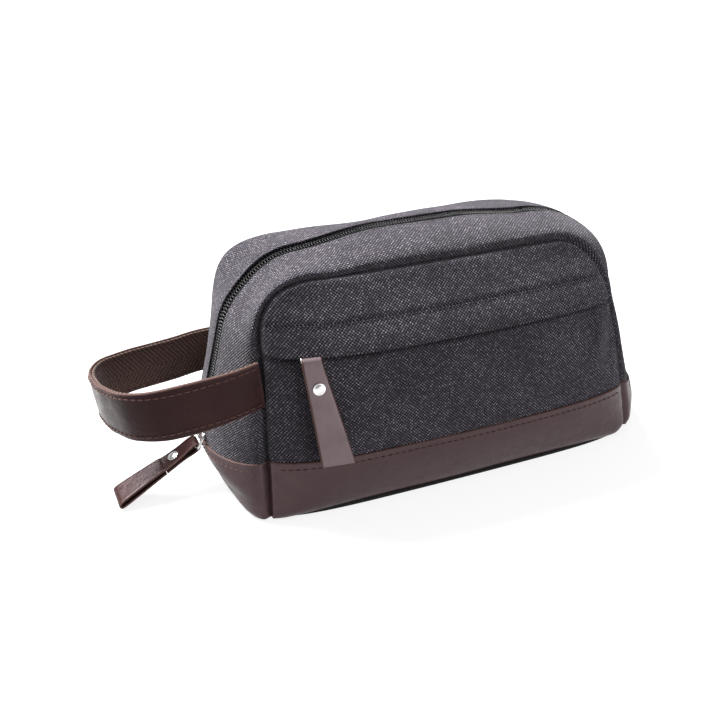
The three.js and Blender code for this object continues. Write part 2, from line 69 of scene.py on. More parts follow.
# ---- The bag's dimensions, as in the CAD ----
BASE_HALF_LENGTH = 112.5
BASE_HALF_DEPTH = 54
TOP_HALF = {"left": 109, "right": 94}
SEAM_LEAN = 0.2
SEAM_HEIGHT = 124
CORNER_RADIUS = 33
CORNER_START = SEAM_HEIGHT - CORNER_RADIUS
CORNER_ARC = CORNER_RADIUS * math.pi / 2
CORNER_END = CORNER_START + CORNER_ARC
FACE_SWELL = [(0, 2.6), (34, 15.2), (90, 21.6), (SEAM_HEIGHT, 4)]
TRIM_HEIGHT = 34
TRIM_DIP = 9
ZIP_END = 26
ZIP_HALF_OPENING = 5.5
FLAP_FROM = -75.65
FLAP_TO = 60.65

# The seams: how deep the cloth dives into one, how widely, and which share of the dive goes along Y
# and along the rim's outward direction. Leather, being stiffer, dives less.
SEAM_DIVE = 4.4
SEAM_WIDTH = 1.25
SINK_Y = 0.8
SINK_RIM = 0.6
LEATHER_TURN = 0.6
# The rolls beside the seams: their heights, how far from the seam they are highest, and the share of
# the strip's roll that leans out along Y.
CANVAS_ROLL = 2.0
STRIP_ROLL_REACH = 6.5
STRIP_LEAN = 0.45
STRIP_LEAN_REACH = 3
FACE_ROLL = 0.7
FACE_ROLL_REACH = 6
# The bottom corners are drawn in along X and Y and lifted; the left ones hardly.
CORNER_IN_X = 2.2
CORNER_IN_Y = 1.5
CORNER_UP = 3.6
CORNER_SPREAD = 40
LEFT_CORNER_SHARE = 0.12

# Distances along the rim, from the foot of the left seam over the top to the foot of the right one.
RIM_MIDDLE = CORNER_END + TOP_HALF["left"] - CORNER_RADIUS
RIM_LENGTH = RIM_MIDDLE + TOP_HALF["right"] - CORNER_RADIUS + CORNER_END
# How far the end and top strip stands proud of the rim at its crown.
CROWN = [
    (0, 8), (10, 14), (24, 20.1), (88, 9.8), (117, 3), (CORNER_END, 4), (190, 10), (RIM_MIDDLE, 10),
    (RIM_LENGTH - 190, 10), (RIM_LENGTH - CORNER_END, 6), (RIM_LENGTH - 91, 10),
    (RIM_LENGTH - 64, 15), (RIM_LENGTH - 24, 22), (RIM_LENGTH - 10, 14), (RIM_LENGTH, 6),
]
# How squarely the strip is filled out from seam to seam near the base: 2 is a plain arch.
SQUARENESS = [(0, 5), (30, 2.6), (60, 2)]

STRAP_ROUTE = [
    (-109.5, -40.5, 75.3), (-122, -43, 74), (-136, -43.4, 72.2), (-158, -41, 69.4), (-174, -31, 66.5),
    (-183, -10, 62), (-183.5, 13, 58.5), (-176, 29, 56), (-160, 36.5, 55.4), (-138, 40.3, 55.4),
    (-122, 44.4, 55.5), (-109.5, 44, 56.3),
]
# Unevenness of the cloth, as humps: height, centre along the rim, and width.
SHOULDER_SHIFTS = [(4.5, 116, 16), (-4.0, RIM_LENGTH - 98, 24)]
REAR_SAGS = [(3.4, RIM_MIDDLE - 30, 19), (1.0, RIM_MIDDLE - 2, 16), (1.2, 110, 45)]
REAR_DIPS = [(1.6, RIM_LENGTH - 134, 11), (1.2, RIM_MIDDLE + 24, 14)]
FRONT_SAGS = [(1.4, RIM_MIDDLE - 66, 12), (1.2, RIM_MIDDLE + 6, 14)]
RIGHT_SHOULDER = [(5.2, RIM_LENGTH - 106, 17)]
# Dents of the front face: height, then centre and width along X, then along Z.
FRONT_DENTS = [(-3.2, 73, 13, 116, 6), (-2.2, 35, 10, 122, 4), (-2.8, 92, 5, 66, 13), (1.2, 82, 5, 70, 13)]

# The front's canvas: where it ends behind the trim, and the gap it sinks into behind the placket.
CANVAS_FOOT = 28
GAP_BOTTOM = 87.6
GAP_TOP = 88.9
GAP_DEPTH = 3.2
PLACKET_BOTTOM = 92.0
PLACKET_TOP = 104.0
PLACKET_ROOT = 1.5
PLACKET_LIFT = 4.6
PLACKET_END_FADE = 3.5

TRIM_PROUD = 1.25
TRIM_EDGE = 1.3
TRIM_STITCH_INSET = 3.2
TRIM_THREAD = 0.26
END_STITCH_HEIGHT = 0.885
END_STITCH_REACH = 0.93

# The strip's canvas starts behind the end leather, and follows the leather's top edge for a while.
STRIP_FOOT = 22
LEATHER_OVERLAP = 2.5
FOLLOW_LENGTH = 30

TOOTH_PITCH = 1.5
TOOTH_SIDES = 6
CHAIN_DEPTH = 0.9
FLAP_LINING_DEPTH = 2.4

STRAP_WIDTH = 26
STRAP_LEATHER = 1.5
STRAP_WEBBING = 1.3
STRAP_DOME = 0.35
STRAP_TIP_X = -184
STRAP_STITCH_INSET = 2.4

THREAD_PITCH = 3.8
TAB_THICKNESS = 1.2
TAB_TOP_HALF = 5
TAB_FLARE = 3.75
RING_WIRE = 0.7
RIVET_AT = 13
RIVET_SEAT = 1.75


# ---- Reading curves and waves ----
def smooth_read(knots, at):
    """A smooth curve through (position, value) knots that doesn't overshoot, read at each position."""
    x, y = np.array(knots, float).T
    width, slope = np.diff(x), np.diff(y) / np.diff(x)
    tangent = np.concatenate([slope[:1], np.zeros(len(x) - 2), slope[-1:]])
    product = slope[:-1] * slope[1:]
    rising = product > 0
    tangent[1:-1][rising] = 2 * product[rising] / (slope[:-1] + slope[1:])[rising]
    at = np.clip(at, x[0], x[-1])
    i = np.clip(np.searchsorted(x, at) - 1, 0, len(width) - 1)
    t = (at - x[i]) / width[i]
    return (
        y[i] * (1 + 2 * t) * (1 - t) ** 2
        + y[i + 1] * t**2 * (3 - 2 * t)
        + width[i] * (tangent[i] * t * (1 - t) ** 2 - tangent[i + 1] * t**2 * (1 - t))
    )


def ripple(a, b, wavelength, seed):
    """Soft waves between about -1 and 1 over a surface."""
    rng = np.random.default_rng(seed)
    total = 0
    for turn, phase, stretch in rng.uniform((0, 0, 0.7), (math.pi, 2 * math.pi, 1.5), (5, 3)):
        run = (a * math.cos(turn) + b * math.sin(turn)) / (wavelength * stretch)
        total = total + np.sin(2 * math.pi * run + phase)
    return total / 3


def hump(at, centre, width):
    return np.exp(-(((at - centre) / width) ** 2))


def humps(at, table):
    return sum(height * hump(at, centre, width) for height, centre, width in table)


def squared(value, power):
    """A sine or cosine pushed out, so that a circle made with it becomes a rounded rectangle."""
    return np.sign(value) * np.abs(value) ** power


def crowded(low, high, count, edge=6.0, fine=0.45):
    """Stations from low to high, crowded within an edge distance of both ends."""
    near = np.arange(0, edge, fine)
    middle = np.linspace(edge, high - low - edge, count)
    return low + np.concatenate([near, middle, (high - low) - near[::-1]])


# ---- The bag's surfaces ----
def face_fullness(x):
    """How much of its swell a face has along X: less towards the ends, none at the seams."""
    share = np.minimum(np.abs(x) / BASE_HALF_LENGTH, 1)
    return (1 - 0.35 * share**2) * (1 - share**7)


def face_depth(x, z):
    """Half the bag's depth at a point of its front or rear face."""
    return BASE_HALF_DEPTH - SEAM_LEAN * z + smooth_read(FACE_SWELL, z) * face_fullness(x)


def top_half(x):
    """Half the seam's length at the top, on the side of x."""
    return np.where(x < 0, TOP_HALF["left"], TOP_HALF["right"])


def face_end(half, z):
    """Where a face ends at height z, on the side whose top half length is given."""
    lean = (BASE_HALF_LENGTH - half) / CORNER_START
    rise = np.clip(z - CORNER_START, 0, CORNER_RADIUS)
    round_end = half - CORNER_RADIUS + np.sqrt(CORNER_RADIUS**2 - rise**2)
    return np.where(z <= CORNER_START, BASE_HALF_LENGTH - lean * z, round_end)


def seam_distance(x, z):
    """How far a point of a face is from the seam round it."""
    half = top_half(x)
    across = np.maximum(np.abs(x) - (half - CORNER_RADIUS), 0)
    up = np.maximum(z - CORNER_START, 0)
    corner = CORNER_RADIUS - np.hypot(across, up)
    side = np.minimum(face_end(half, z) - np.abs(x), SEAM_HEIGHT - z)
    return np.maximum(np.where(up > 0, corner, side), 0)


def seam_direction(x, z):
    """The outward direction across the nearest seam, in the face's plane."""
    across = np.maximum(np.abs(x) - (top_half(x) - CORNER_RADIUS), 1e-6) * np.sign(x)
    up = np.maximum(z - CORNER_START, 0)
    length = np.hypot(across, up)
    return np.where(up > 0, across / length, np.sign(x)), np.where(up > 0, up / length, 0)


def rim_distance(x, z):
    """The distance along the rim of the seam point nearest to a point of a face."""
    half = top_half(x)
    across = np.maximum(np.abs(x) - (half - CORNER_RADIUS), 0)
    up = np.maximum(z - CORNER_START, 0)
    corner = CORNER_START + CORNER_RADIUS * np.arctan2(up, across + 1e-9)
    s = np.where(up > 0, np.where(across > 0, corner, CORNER_END + half - CORNER_RADIUS - np.abs(x)), z)
    return np.where(x < 0, s, RIM_LENGTH - s)


def seam_shift(t):
    """How far the seam runs outside its plain rounded outline: the left shoulder is squarer."""
    return humps(t, SHOULDER_SHIFTS)


def dive(distance):
    """How far the cloth sinks at a distance from a seam."""
    return SEAM_DIVE * np.exp(-((distance / SEAM_WIDTH) ** 2))


def swell(distance, reach):
    """A roll beside a seam, highest at its reach."""
    return distance / reach * np.exp(1 - distance / reach)


def corner_lift(along, height):
    """How strongly a bottom corner is drawn in and up: 1 at the corner, almost 0 beyond 12 mm."""
    return np.exp(-(np.maximum(along, 0) ** 2 + height**2) / CORNER_SPREAD)


def face_point(sign, x, z, proud, turned_in=1.0):
    """A point of the front (-1) or rear (+1) face, standing proud of it, turned in at the seam."""
    distance = seam_distance(x, z)
    nx, nz = seam_direction(x, z)
    sink = turned_in * dive(distance)
    roll = FACE_ROLL * swell(distance, FACE_ROLL_REACH)
    depth = face_depth(x, z) + proud * (1 - np.exp(-distance / 5)) + roll - SINK_Y * sink
    corner = corner_lift(BASE_HALF_LENGTH - np.abs(x), z)
    lifted = corner * np.where(x > 0, 1.0, LEFT_CORNER_SHARE)
    out = seam_shift(rim_distance(x, z)) * np.exp(-distance / 12) - SINK_RIM * sink
    across = x + out * nx - CORNER_IN_X * lifted * np.sign(x)
    return np.stack([across, sign * (depth - CORNER_IN_Y * corner), z + out * nz + CORNER_UP * lifted], -1)


def rim(t):
    """The seam line at distance t along the rim: x, z, and its outward direction."""
    left = t < RIM_MIDDLE
    sign = np.where(left, -1, 1)
    half = np.where(left, TOP_HALF["left"], TOP_HALF["right"])
    s = np.where(left, t, RIM_LENGTH - t)
    angle = np.clip((s - CORNER_START) / CORNER_RADIUS, 0, math.pi / 2)
    beyond = np.maximum(s - CORNER_END, 0)
    corner_x = half - CORNER_RADIUS + CORNER_RADIUS * np.cos(angle) - beyond
    x = sign * np.where(s <= CORNER_START, face_end(half, np.minimum(s, CORNER_START)), corner_x)
    z = np.where(s <= CORNER_START, s, CORNER_START + CORNER_RADIUS * np.sin(angle))
    return x, z, sign * np.cos(angle), np.sin(angle)


def strip_point(t, y, depth):
    """A point of the strip up the ends and over the top, a depth below its smooth surface."""
    x, z, nx, nz = rim(t)
    across = y / face_depth(x, z)
    power = smooth_read(SQUARENESS, np.minimum(t, RIM_LENGTH - t))
    out = smooth_read(CROWN, t) * (1 - np.abs(across) ** power) + strip_waves(t, y) - depth
    return np.stack([x + nx * out, y + 0 * x, z + nz * out], -1)


def strip_waves(t, y):
    """Soft unevenness of the top, which sags where the cloth is loose."""
    top = hump(t, RIM_MIDDLE - 10, 95)
    rear = np.clip(y / 30, 0, 1)
    front = np.clip(-y / 30, 0, 1)
    sags = rear * humps(t, REAR_SAGS + REAR_DIPS) + front * humps(t, FRONT_SAGS) * top
    waves = humps(t, RIGHT_SHOULDER) * (1 - np.clip(np.abs(y) / 38, 0, 1) ** 4) - sags
    return waves + 0.5 * top * ripple(t, y, 46, 3) * (rear + front)


def strip_seam(t):
    """Half the bag's depth from seam to seam at distance t along the rim."""
    x, z, _, _ = rim(t)
    return face_depth(x, z)


def puffed_strip_point(sign, t, share, roll, turned_in=1.0):
    """The cloth or leather of the strip, from the zip (share 0) to the seam (share 1)."""
    seam = strip_seam(t)
    y = sign * (ZIP_HALF_OPENING + (seam - ZIP_HALF_OPENING) * share)
    distance = seam * (1 - share)
    _, _, nx, nz = rim(t)
    sink = turned_in * dive(distance)
    point = strip_point(t, y, 0)
    shift = seam_shift(t) * np.clip(share, 0, 1) ** 3
    lift = roll * swell(distance, STRIP_ROLL_REACH) - SINK_RIM * sink + shift
    lean = STRIP_LEAN * roll * swell(distance, STRIP_LEAN_REACH) - SINK_Y * sink
    return point + np.stack([nx * lift, sign * lean, nz * lift], -1)


# ---- Meshes ----
def new_object(name, points, faces, uvs, materials, slots=None):
    """A smooth mesh object from points in millimetres, with a UV for each point, also in millimetres."""
    mesh = bpy.data.meshes.new(name)
    face_list = faces.tolist() if isinstance(faces, np.ndarray) else faces
    mesh.from_pydata((points * MM).tolist(), [], face_list)
    for material in materials:
        mesh.materials.append(material)
    if slots is not None:
        mesh.polygons.foreach_set("material_index", np.asarray(slots, np.int32))
    corners = np.zeros(len(mesh.loops), np.int32)
    mesh.loops.foreach_get("vertex_index", corners)
    layer = mesh.uv_layers.new(name="cloth")
    layer.uv.foreach_set("vector", np.asarray(uvs, np.float32)[corners].ravel())
    mesh.polygons.foreach_set("use_smooth", np.ones(len(mesh.polygons), bool))
    mesh.update()
    obj = bpy.data.objects.new(name, mesh)
    bpy.context.scene.collection.objects.link(obj)
    return obj


def grid_faces(rows, columns, closed=False, flip=False):
    """Quads of a grid of points; closed joins the last column to the first."""
    i, j = np.meshgrid(np.arange(rows - 1), np.arange(columns - (not closed)), indexing="ij")
    k = (j + 1) % columns
    quads = [i * columns + j, i * columns + k, (i + 1) * columns + k, (i + 1) * columns + j]
    quads = np.stack(quads, -1).reshape(-1, 4)
    return quads[:, ::-1] if flip else quads


def grid_object(name, points, uvs, material, flip=False):
    rows, columns = points.shape[:2]
    faces = grid_faces(rows, columns, flip=flip)
    return new_object(name, points.reshape(-1, 3), faces, uvs.reshape(-1, 2), [material])


def cloth_uvs(points):
    """Each point's place in the flat cloth: along its row from the middle, and up the rows."""
    middle = points.shape[1] // 2
    run = np.linalg.norm(np.diff(points, axis=1), axis=2).cumsum(axis=1)
    run = np.concatenate([np.zeros((len(points), 1)), run], axis=1)
    up = run_lengths(points[:, middle])
    return np.stack(np.broadcast_arrays(run - run[:, middle:middle + 1], up[:, None]), -1)


def joined(parts):
    """One set of points, faces and UVs from many."""
    points, faces, uvs, first = [], [], [], 0
    for part_points, part_faces, part_uvs in parts:
        points.append(part_points)
        faces.append(np.asarray(part_faces) + first)
        uvs.append(part_uvs)
        first += len(part_points)
    return np.concatenate(points), np.concatenate(faces), np.concatenate(uvs)


def unit(v):
    return v / np.maximum(np.linalg.norm(v, axis=-1, keepdims=True), 1e-9)


def run_lengths(points):
    steps = np.linalg.norm(np.diff(points, axis=0), axis=1)
    return np.concatenate([[0], np.cumsum(steps)])


def resampled(points, spacing):
    """The points of a polyline at an even spacing, and their distances along it."""
    run = run_lengths(points)
    at = np.linspace(0, run[-1], max(int(run[-1] / spacing), 2))
    return np.stack([np.interp(at, run, points[:, k]) for k in range(3)], -1), at


def spline(points, count):
    """A Catmull-Rom curve through the points, with even spacing along it."""
    p = np.array(points, float)
    p = np.concatenate([[2 * p[0] - p[1]], p, [2 * p[-1] - p[-2]]])
    t = np.linspace(0, 1, 24, endpoint=False)[:, None]
    pieces = []
    for a, b, c, d in zip(p, p[1:], p[2:], p[3:]):
        pieces.append(
            0.5 * (2 * b + (c - a) * t + (2 * a - 5 * b + 4 * c - d) * t**2
                   + (3 * b - a - 3 * c + d) * t**3)
        )
    dense = np.concatenate(pieces + [p[-2:-1]])
    return resampled(dense, run_lengths(dense)[-1] / count)[0]


def band_section(half_width, thickness, dome):
    """A strip's rounded section as (across, out) points, with True on its outer and inner face."""
    radius = thickness / 2
    across = np.linspace(-1, 1, 13)
    turns = np.linspace(math.pi / 2, -math.pi / 2, 6)[1:-1]
    arc = [(radius * math.cos(turn), radius * math.sin(turn)) for turn in turns]
    section = [(half_width * a, radius + dome * (1 - a**2), True) for a in across]
    section += [(half_width + a, out, False) for a, out in arc]
    section += [(half_width * a, -radius, True) for a in across[::-1]]
    section += [(-half_width - a, -out, False) for a, out in arc]
    return section


def band_object(name, centres, across, out, half_widths, thickness, materials, dome=0.0):
    """A strip of leather or webbing swept along its centres; its second material is its edges."""
    run = run_lengths(centres)
    rows, uvs = [], []
    for centre, side, up, half, distance in zip(centres, across, out, half_widths, run):
        section = band_section(half - thickness / 2, thickness, dome)
        rows.append([centre + side * a + up * o for a, o, _ in section])
        uvs.append([(distance, a) for a, _, _ in section])
    flat = [flat for _, _, flat in section]
    count = len(flat)
    faces = grid_faces(len(rows), count, closed=True)
    on_edge = [0 if flat[j] and flat[(j + 1) % count] else 1 for j in range(count)]
    slots = on_edge * (len(rows) - 1) + [1, 1]
    points = np.array(rows).reshape(-1, 3)
    caps = [list(range(count)), list(range(len(points) - count, len(points)))[::-1]]
    mesh_uvs = np.array(uvs).reshape(-1, 2)
    return new_object(name, points, faces.tolist() + caps, mesh_uvs, materials, slots)


def tube_part(path, normals, radii, sides=6):
    """A tube along a short path, as points, faces and UVs."""
    forward = unit(np.gradient(path, axis=0))
    normal = unit(normals - forward * np.sum(normals * forward, -1, keepdims=True))
    side = np.cross(forward, normal)
    angle = np.linspace(0, 2 * math.pi, sides, endpoint=False)
    ring = normal[:, None] * np.cos(angle)[:, None] + side[:, None] * np.sin(angle)[:, None]
    points = path[:, None] + ring * np.asarray(radii)[:, None, None]
    run = run_lengths(path)
    uvs = np.stack(np.broadcast_arrays(run[:, None], angle[None] * 0.4), -1)
    return points.reshape(-1, 3), grid_faces(len(path), sides, closed=True), uvs.reshape(-1, 2)


# Places along a stitch, as shares of its length: how far it stands out there, and its thickness.
STITCH_SHAPE = [
    (0.0, -0.45, 0.5), (0.08, 0.0, 0.85), (0.3, 0.26, 1.0),
    (0.7, 0.26, 1.0), (0.92, 0.0, 0.85), (1.0, -0.45, 0.5),
]


def stitch_row(name, path, normals, material, pitch=THREAD_PITCH, length=0.8, radius=0.3):
    """Stitches along a line on a surface, each dipping into it at both ends."""
    run = run_lengths(path)
    shares, heights, sizes = np.array(STITCH_SHAPE).T
    parts = []
    for start in np.arange(pitch * 0.4, run[-1] - pitch, pitch):
        at = start + shares * pitch * length
        centre = np.stack([np.interp(at, run, path[:, k]) for k in range(3)], -1)
        normal = unit(np.stack([np.interp(at, run, normals[:, k]) for k in range(3)], -1))
        centre = centre + normal * heights[:, None]
        parts.append(tube_part(centre, normal, radius * sizes))
    points, faces, uvs = joined(parts)
    return new_object(name, points, faces, uvs, [material])


def bead(name, path, inward, up, thickness, material):
    """The raw edge of a leather piece: a half-round bead between its outer and inner face."""
    angle = np.linspace(0, math.pi, 7)
    deep = 0.5 * thickness * (1 - np.cos(angle))[:, None]
    high = 0.4 * thickness * np.sin(angle)[:, None]
    points = path[:, None] + inward[:, None] * deep + up[:, None] * high
    run = run_lengths(path)
    uvs = np.stack(np.broadcast_arrays(run[:, None], angle[None]), -1)
    return grid_object(name, points, uvs, material)


# ---- Materials ----
class Shader:
    """A material with a Principled surface, and short ways to add the nodes that drive it."""

    def __init__(self, name, **settings):
        self.material = bpy.data.materials.new(name)
        self.material.use_nodes = True
        self.tree = self.material.node_tree
        self.surface = self.tree.nodes["Principled BSDF"]
        for socket, value in settings.items():
            self.surface.inputs[socket.replace("_", " ")].default_value = value

    def put(self, socket, value):
        if isinstance(value, bpy.types.NodeSocket):
            self.tree.links.new(value, socket)
        else:
            socket.default_value = value

    def node(self, kind, **settings):
        node = self.tree.nodes.new(kind)
        for key, value in settings.items():
            setattr(node, key, value)
        return node

    def math(self, operation, a, b=0.0, c=0.0):
        node = self.node("ShaderNodeMath", operation=operation)
        for socket, value in zip(node.inputs, (a, b, c)):
            self.put(socket, value)
        return node.outputs[0]

    def mix(self, share, a, b):
        node = self.node("ShaderNodeMix", data_type="RGBA")
        self.put(node.inputs[0], share)
        self.put(node.inputs[6], a)
        self.put(node.inputs[7], b)
        return node.outputs[2]

    def span(self, value, low, high, to_low=0.0, to_high=1.0):
        node = self.node("ShaderNodeMapRange")
        for socket, number in zip(node.inputs, (value, low, high, to_low, to_high)):
            self.put(socket, number)
        return node.outputs[0]

    def cloth_coordinates(self):
        """The piece's own UVs, in millimetres of cloth."""
        uv = self.node("ShaderNodeUVMap", uv_map="cloth")
        return uv.outputs[0]

    def body_coordinates(self):
        """Places in the row frame, in millimetres."""
        place = self.node("ShaderNodeTexCoord").outputs["Object"]
        scale = self.node("ShaderNodeVectorMath", operation="SCALE")
        self.put(scale.inputs[0], place)
        scale.inputs["Scale"].default_value = 1 / MM
        return scale.outputs[0]

    def split(self, vector):
        node = self.node("ShaderNodeSeparateXYZ")
        self.put(node.inputs[0], vector)
        return node.outputs

    def noise(self, vector, size, detail=2.0, distortion=0.0):
        node = self.node("ShaderNodeTexNoise")
        self.put(node.inputs["Vector"], vector)
        node.inputs["Scale"].default_value = 1 / size
        node.inputs["Detail"].default_value = detail
        node.inputs["Distortion"].default_value = distortion
        return node.outputs[0]

    def bump(self, height, distance):
        node = self.node("ShaderNodeBump")
        node.inputs["Distance"].default_value = distance * MM
        self.put(node.inputs["Height"], height)
        return node.outputs[0]

    def finish(self, **sockets):
        for socket, value in sockets.items():
            self.put(self.surface.inputs[socket.replace("_", " ")], value)
        return self.material


def weave(shader, vector, pitch):
    """Plain weave: its height from 0 to 1, and a random number for each crossing of two threads."""
    u, v, _ = shader.split(vector)
    wander = shader.math("MULTIPLY", shader.noise(vector, size=9, detail=1.0), 0.9 * pitch)
    u = shader.math("ADD", u, wander)
    v = shader.math("ADD", v, shader.math("MULTIPLY", wander, 0.7))
    along, up = shader.math("DIVIDE", u, pitch), shader.math("DIVIDE", v, pitch)
    waves = [shader.math("SINE", shader.math("MULTIPLY", w, math.pi)) for w in (along, up)]
    product = shader.math("MULTIPLY", *waves)
    height = shader.math("MULTIPLY_ADD", product, 0.5, 0.5)
    cell = shader.node("ShaderNodeCombineXYZ")
    shader.put(cell.inputs[0], shader.math("FLOOR", along))
    shader.put(cell.inputs[1], shader.math("FLOOR", up))
    chance = shader.node("ShaderNodeTexWhiteNoise", noise_dimensions="2D")
    shader.put(chance.inputs["Vector"], cell.outputs[0])
    return height, chance.outputs["Value"]


CANVAS_PITCH = 0.94


def canvas_material(name, dark, pale):
    """Washed canvas: pale worn crowns on dark yarn, each a little different, over faded patches."""
    shader = Shader(name, Roughness=0.92, Sheen_Weight=0.12, Sheen_Roughness=0.5, Specular_IOR_Level=0.15)
    vector = shader.cloth_coordinates()
    height, chance = weave(shader, vector, CANVAS_PITCH)
    fleck = shader.math("POWER", chance, 2.2)
    crown = shader.math("POWER", shader.span(height, 0.25, 1.0), 1.4)
    strength = shader.math("MULTIPLY_ADD", fleck, 0.5, 0.24)
    faded = shader.span(shader.noise(vector, size=30, detail=3.0), 0.3, 0.72, 0.72, 1.25)
    lint = shader.span(shader.noise(vector, size=0.75, detail=3.0), 0.32, 0.68, 0.25, 1.75)
    share = shader.math("MULTIPLY", shader.math("MULTIPLY", crown, strength), faded)
    share = shader.math("MULTIPLY", share, lint)
    colour = shader.mix(share, dark, pale)
    fuzz = shader.math("MULTIPLY_ADD", shader.noise(vector, size=0.4, detail=2.0), 0.35, height)
    return shader.finish(Base_Color=colour, Normal=shader.bump(fuzz, 0.32))


def leather_material(name, dark, light, roughness, gloss_level):
    """Smooth dyed leather with a fine grain and faint creases."""
    shader = Shader(name, Specular_IOR_Level=gloss_level, Specular_Tint=(1.0, 0.8, 0.87, 1))
    vector = shader.cloth_coordinates()
    cloudy = shader.noise(vector, size=22, detail=3.0)
    colour = shader.mix(shader.span(cloudy, 0.3, 0.7), dark, light)
    cells = shader.node("ShaderNodeTexVoronoi", feature="DISTANCE_TO_EDGE")
    shader.put(cells.inputs["Vector"], vector)
    cells.inputs["Scale"].default_value = 1.1
    grain = shader.math("MINIMUM", cells.outputs["Distance"], 0.25)
    pores = shader.noise(vector, size=3.5, detail=4.0, distortion=0.6)
    fine = shader.math("MULTIPLY_ADD", pores, 1.6, grain)
    valleys = shader.math("SUBTRACT", shader.noise(vector, size=13, detail=4.0, distortion=1.2), 0.5)
    fine = shader.math("MULTIPLY_ADD", shader.math("ABSOLUTE", valleys), 6.0, fine)
    handled = shader.noise(vector, size=6, detail=3.0)
    gloss = shader.span(handled, 0.3, 0.7, roughness - 0.09, roughness + 0.1)
    return shader.finish(Base_Color=colour, Roughness=gloss, Normal=shader.bump(fine, 0.07))


def raw_edge_material():
    """The cut edge of the leather, paler and redder, with fibres along it."""
    shader = Shader("leather_raw_edge", Roughness=0.75)
    vector = shader.cloth_coordinates()
    fibres = shader.noise(vector, size=0.8, detail=4.0, distortion=1.5)
    colour = shader.mix(shader.span(fibres, 0.3, 0.75), (0.05, 0.02, 0.016, 1), (0.13, 0.055, 0.042, 1))
    return shader.finish(Base_Color=colour, Normal=shader.bump(fibres, 0.15))


def webbing_material():
    """Ribbed cotton webbing: slanting ribs that turn at the middle of the strap."""
    shader = Shader("strap_webbing_brown", Roughness=0.9, Sheen_Weight=0.25)
    vector = shader.cloth_coordinates()
    u, v, _ = shader.split(vector)
    slope = shader.math("ABSOLUTE", v)
    run = shader.math("MULTIPLY_ADD", slope, 0.75, u)
    rib = shader.math("SINE", shader.math("MULTIPLY", run, 2 * math.pi / 2.5))
    cord = shader.math("SINE", shader.math("MULTIPLY", v, 2 * math.pi / 1.35))
    height = shader.math("MULTIPLY_ADD", shader.math("MULTIPLY", rib, cord), 0.25, 0.5)
    height = shader.math("MULTIPLY_ADD", rib, 0.25, height)
    yarn = shader.math("MULTIPLY_ADD", shader.noise(vector, size=0.5, detail=3.0), 0.5, height)
    colour = shader.mix(shader.span(yarn, 0.35, 1.25), (0.014, 0.0065, 0.004, 1), (0.23, 0.115, 0.082, 1))
    return shader.finish(Base_Color=colour, Normal=shader.bump(yarn, 0.5))


def fine_cloth_material(name, dark, pale, pitch, roughness, coordinates):
    """A plain fine cloth: lining, zip tape or base."""
    shader = Shader(name, Roughness=roughness, Specular_IOR_Level=0.3)
    vector = shader.cloth_coordinates() if coordinates == "cloth" else shader.body_coordinates()
    height, chance = weave(shader, vector, pitch)
    share = shader.math("MULTIPLY", height, shader.math("MULTIPLY_ADD", chance, 0.6, 0.4))
    colour = shader.mix(share, dark, pale)
    return shader.finish(Base_Color=colour, Normal=shader.bump(height, 0.2 * pitch))


def plastic_material():
    """Black nylon of the coils, slightly worn on top."""
    shader = Shader("zip_coil_black", Specular_IOR_Level=0.14)
    vector = shader.body_coordinates()
    wear = shader.noise(vector, size=3, detail=3.0)
    worn = shader.span(wear, 0.35, 0.7)
    colour = shader.mix(worn, (0.003, 0.0026, 0.0032, 1), (0.011, 0.0095, 0.0115, 1))
    gloss = shader.span(wear, 0.3, 0.7, 0.2, 0.3)
    return shader.finish(Base_Color=colour, Roughness=gloss)


def metal_material():
    """Polished nickel with a little haze and fine scratches."""
    shader = Shader("nickel", Metallic=1.0)
    vector = shader.body_coordinates()
    haze = shader.noise(vector, size=1.8, detail=4.0)
    colour = shader.mix(haze, (0.52, 0.52, 0.53, 1), (0.72, 0.71, 0.7, 1))
    gloss = shader.span(haze, 0.3, 0.7, 0.16, 0.32)
    return shader.finish(Base_Color=colour, Roughness=gloss, Normal=shader.bump(haze, 0.02))


def thread_material(name, dark, pale):
    """Twisted sewing thread."""
    shader = Shader(name, Roughness=0.7)
    u, v, _ = shader.split(shader.cloth_coordinates())
    twist = shader.math("SINE", shader.math("MULTIPLY_ADD", u, 7.0, shader.math("MULTIPLY", v, 2.5)))
    colour = shader.mix(shader.span(twist, -1, 1), dark, pale)
    return shader.finish(Base_Color=colour, Normal=shader.bump(twist, 0.1))


def board_material():
    """Grey fibre board that stiffens the base."""
    shader = Shader("fibre_board", Roughness=0.9)
    speckle = shader.noise(shader.body_coordinates(), size=1.2, detail=4.0)
    colour = shader.mix(speckle, (0.1, 0.09, 0.075, 1), (0.22, 0.19, 0.15, 1))
    return shader.finish(Base_Color=colour, Normal=shader.bump(speckle, 0.1))


LEATHERS = {  # its dark and light tone, its roughness and its gloss
    "leather": ("brown_leather", (0.032, 0.0135, 0.0135, 1), (0.048, 0.021, 0.021, 1), 0.38, 0.5),
    "strap_leather": (
        "strap_leather_brown", (0.023, 0.0072, 0.0066, 1), (0.038, 0.0132, 0.0116, 1), 0.31, 0.13,
    ),
    # The pocket tab's leather is the bag's leather with a painted highlight: its tones are a much lighter
    # copy.
    "painted_highlight_leather": ("tab_leather_brown", (0.16, 0.116, 0.121, 1), (0.24, 0.18, 0.187, 1), 0.38, 0.5),
}
FINE_CLOTHS = {  # its dark and pale tone, the pitch of its weave, its roughness and its coordinates
    "tape": ("zip_tape_black", (0.006, 0.006, 0.007, 1), (0.03, 0.03, 0.033, 1), 0.55, 0.85, "cloth"),
    "base": ("base_cloth_black", (0.004, 0.004, 0.004, 1), (0.022, 0.021, 0.022, 1), 0.8, 0.85, "cloth"),
    "lining": ("lining_dark", (0.012, 0.012, 0.015, 1), (0.05, 0.05, 0.056, 1), 0.4, 0.7, "cloth"),
    "inner_cloth": ("inner_cloth_dark", (0.012, 0.012, 0.015, 1), (0.05, 0.05, 0.056, 1), 0.6, 0.8, "body"),
}
